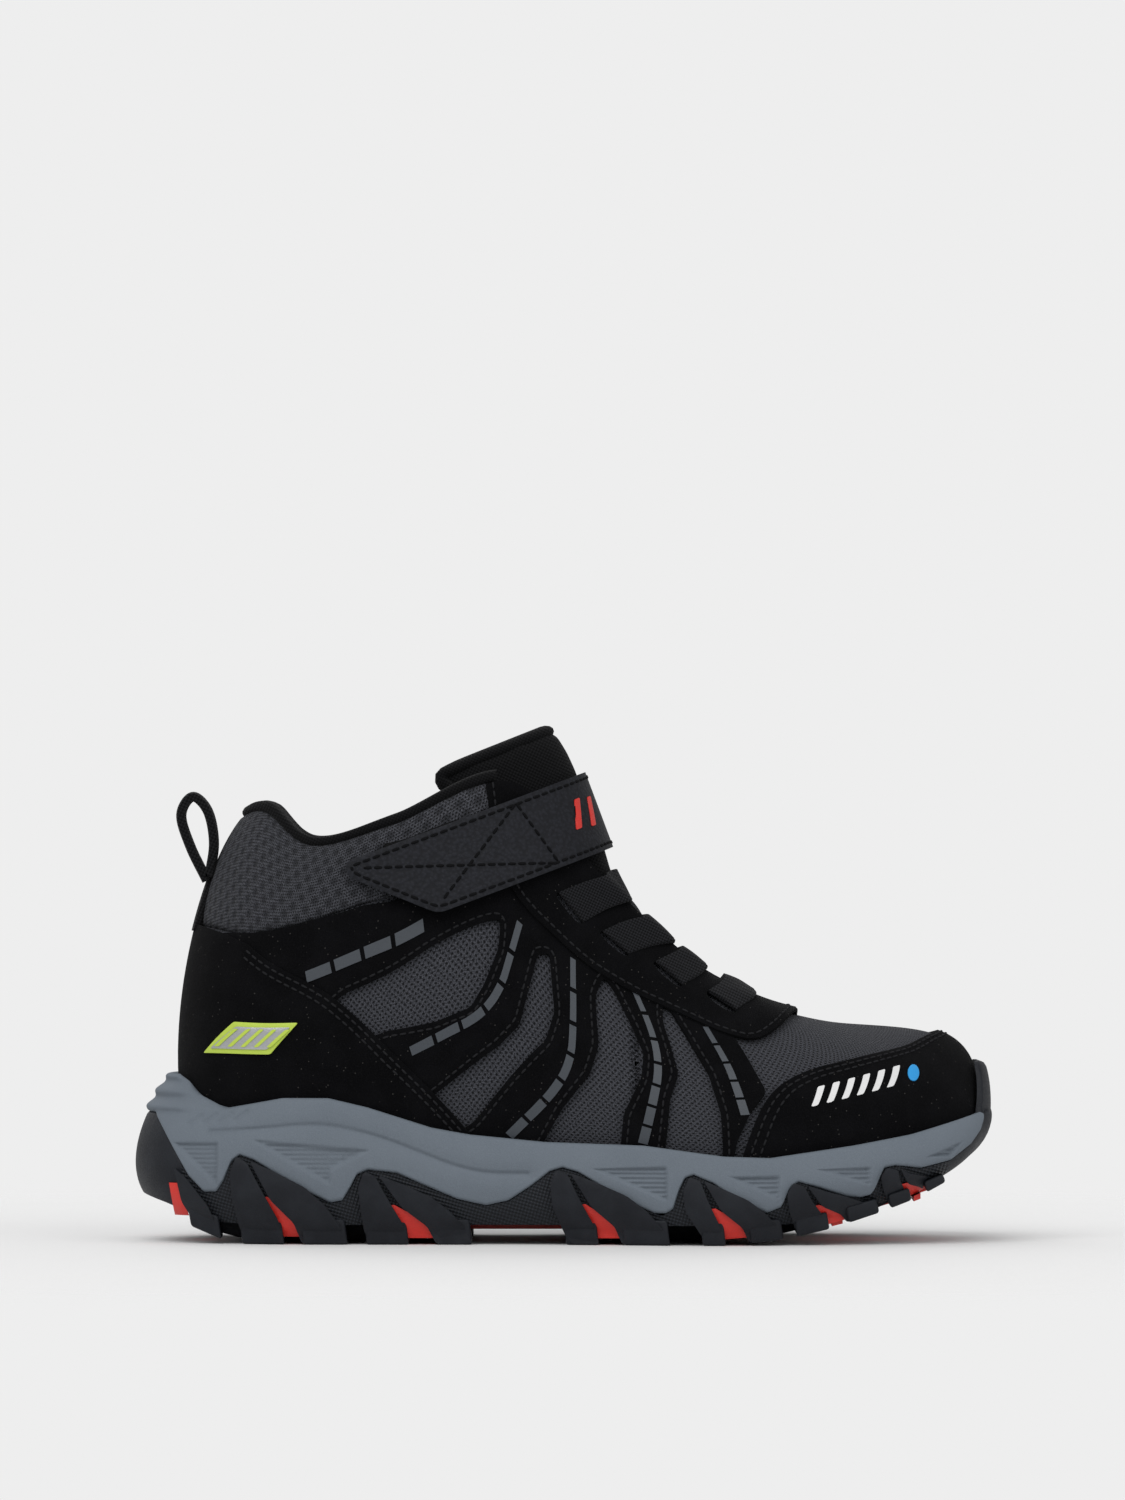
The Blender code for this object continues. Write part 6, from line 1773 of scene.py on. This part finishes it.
def make_pull_loop():
    centre = catmull(np.insert(PULL_LOOP_LINE, 1, 0.0, axis=1), np.linspace(0, 1, 70))
    way = np.gradient(centre, axis=0)
    way /= np.linalg.norm(way, axis=1)[:, None]
    normal = np.stack([-way[:, 2], np.zeros(len(centre)), way[:, 0]], 1)
    across = np.linspace(-1, 1, 11)
    grids = []
    for sign in (1, -1):
        thick = LOOP_THICK / 2 * (1 - 0.35 * across ** 4)
        grids.append(centre[:, None] + normal[:, None] * (thick * sign)[None, :, None]
                     + np.array([0, 1.0, 0]) * (across * LOOP_WIDTH / 2)[None, :, None])
    points, faces = shell_mesh(grids[0], grids[1])
    obj = add_mesh("pull_webbing", points, faces, LOOKS["webbing"], "pull_loop", "webbing",
                   replaces=["pull_loop"])
    fix_normals(obj)
    bevelled(obj, 0.4, 2, 60)
    make_band("back_strip", -0.026, 0.026, fixed(0.62), fixed(0.78), 0.2, 2.5, "webbing", "webbing",
              14, 24, ["backstay"])


# ---------------------------------------------------------------- carried-over CAD pieces
def dress_frame():
    """Fine materials for the CAD pieces that stay as they are."""
    kept = {"outsole_web": "red", "insole_board": "board", "shank": "shank", "heel_counter": "stiffener",
            "toe_puff": "stiffener", "collar_foam": "foam"}
    for node, look in kept.items():
        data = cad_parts[node].data
        data.materials.clear()
        data.materials.append(LOOKS[look])


# ---------------------------------------------------------------- stage
PHOTO_HEIGHT, PHOTO_LEVEL = 390.6, 128.9     # the picture's height at the boot, and its middle's level
CAMERA_AWAY, SENSOR = 3.0, 36.0
PALE = (0.855, 0.855, 0.855)
WORLD_LIGHT = 0.6
LIGHTS = [("key", (-0.6, -1.2, 1.5), 1.5, 50), ("fill", (1.2, -1.2, 0.7), 0.5, 60),
          ("back", (-0.4, 1.2, 1.2), 0.6, 50)]     # name, direction it comes from, strength, softness


def floor_look():
    """Pale matt floor that fades into the backdrop away from the boot."""
    n = Nodes("pale_floor")
    n.finish((0.8, 0.8, 0.8), 0.9, specular=0.05)
    reach = n.add("VectorMath", operation="LENGTH")
    n.link(n.coords(1.0), reach.inputs[0])
    clear = n.add("BsdfTransparent")
    mixed = n.add("MixShader")
    n.link(n.ramp(reach.outputs["Value"], 130.0, 420.0), mixed.inputs[0])
    n.link(n.shader.outputs[0], mixed.inputs[1])
    n.link(clear.outputs[0], mixed.inputs[2])
    n.link(mixed.outputs[0], n.tree.nodes["Material Output"].inputs["Surface"])
    return n.material


def make_stage():
    """Camera, lights, backdrop and floor."""
    scene = bpy.context.scene
    scene.view_settings.view_transform = "Standard"
    camera = bpy.data.objects.new("camera", bpy.data.cameras.new("camera"))
    camera.location = (-CENTRE_SHIFT[0] * MM, -CAMERA_AWAY, PHOTO_LEVEL * MM)
    camera.rotation_euler = (math.radians(90), 0, 0)
    camera.data.sensor_width = SENSOR
    camera.data.lens = SENSOR * (CAMERA_AWAY - 0.035) / (PHOTO_HEIGHT * MM)
    camera.data.clip_end = 50
    scene.collection.objects.link(camera)
    scene.camera = camera
    for name, place, power, softness in LIGHTS:
        light = bpy.data.objects.new(name, bpy.data.lights.new(name, "SUN"))
        light.data.energy = power
        light.data.angle = math.radians(softness)
        light.rotation_euler = (-Vector(place)).to_track_quat("-Z", "Y").to_euler()
        scene.collection.objects.link(light)
    world = bpy.data.worlds.new("studio")
    scene.world = world
    world.use_nodes = True
    tree = world.node_tree
    background = tree.nodes["Background"]
    path = tree.nodes.new("ShaderNodeLightPath")
    strength = tree.nodes.new("ShaderNodeMapRange")
    tree.links.new(path.outputs["Is Camera Ray"], strength.inputs[0])
    strength.inputs[3].default_value = WORLD_LIGHT
    strength.inputs[4].default_value = 1.0
    background.inputs["Color"].default_value = (*PALE, 1)
    tree.links.new(strength.outputs[0], background.inputs["Strength"])
    floor = bpy.data.meshes.new("floor")
    floor.from_pydata([(-6, -6, 0), (6, -6, 0), (6, 6, 0), (-6, 6, 0)], [], [(0, 1, 2, 3)])
    floor.materials.append(floor_look())
    ground_plane = bpy.data.objects.new("floor", floor)
    scene.collection.objects.link(ground_plane)


make_midsole()
make_outsole()
make_claws()
make_textiles()
make_binding()
make_lining()
make_overlays()
make_reflective()
make_emblems()
make_tongue()
make_laces()
make_crossings()
make_strap()
make_pull_loop()
dress_frame()
make_stage()
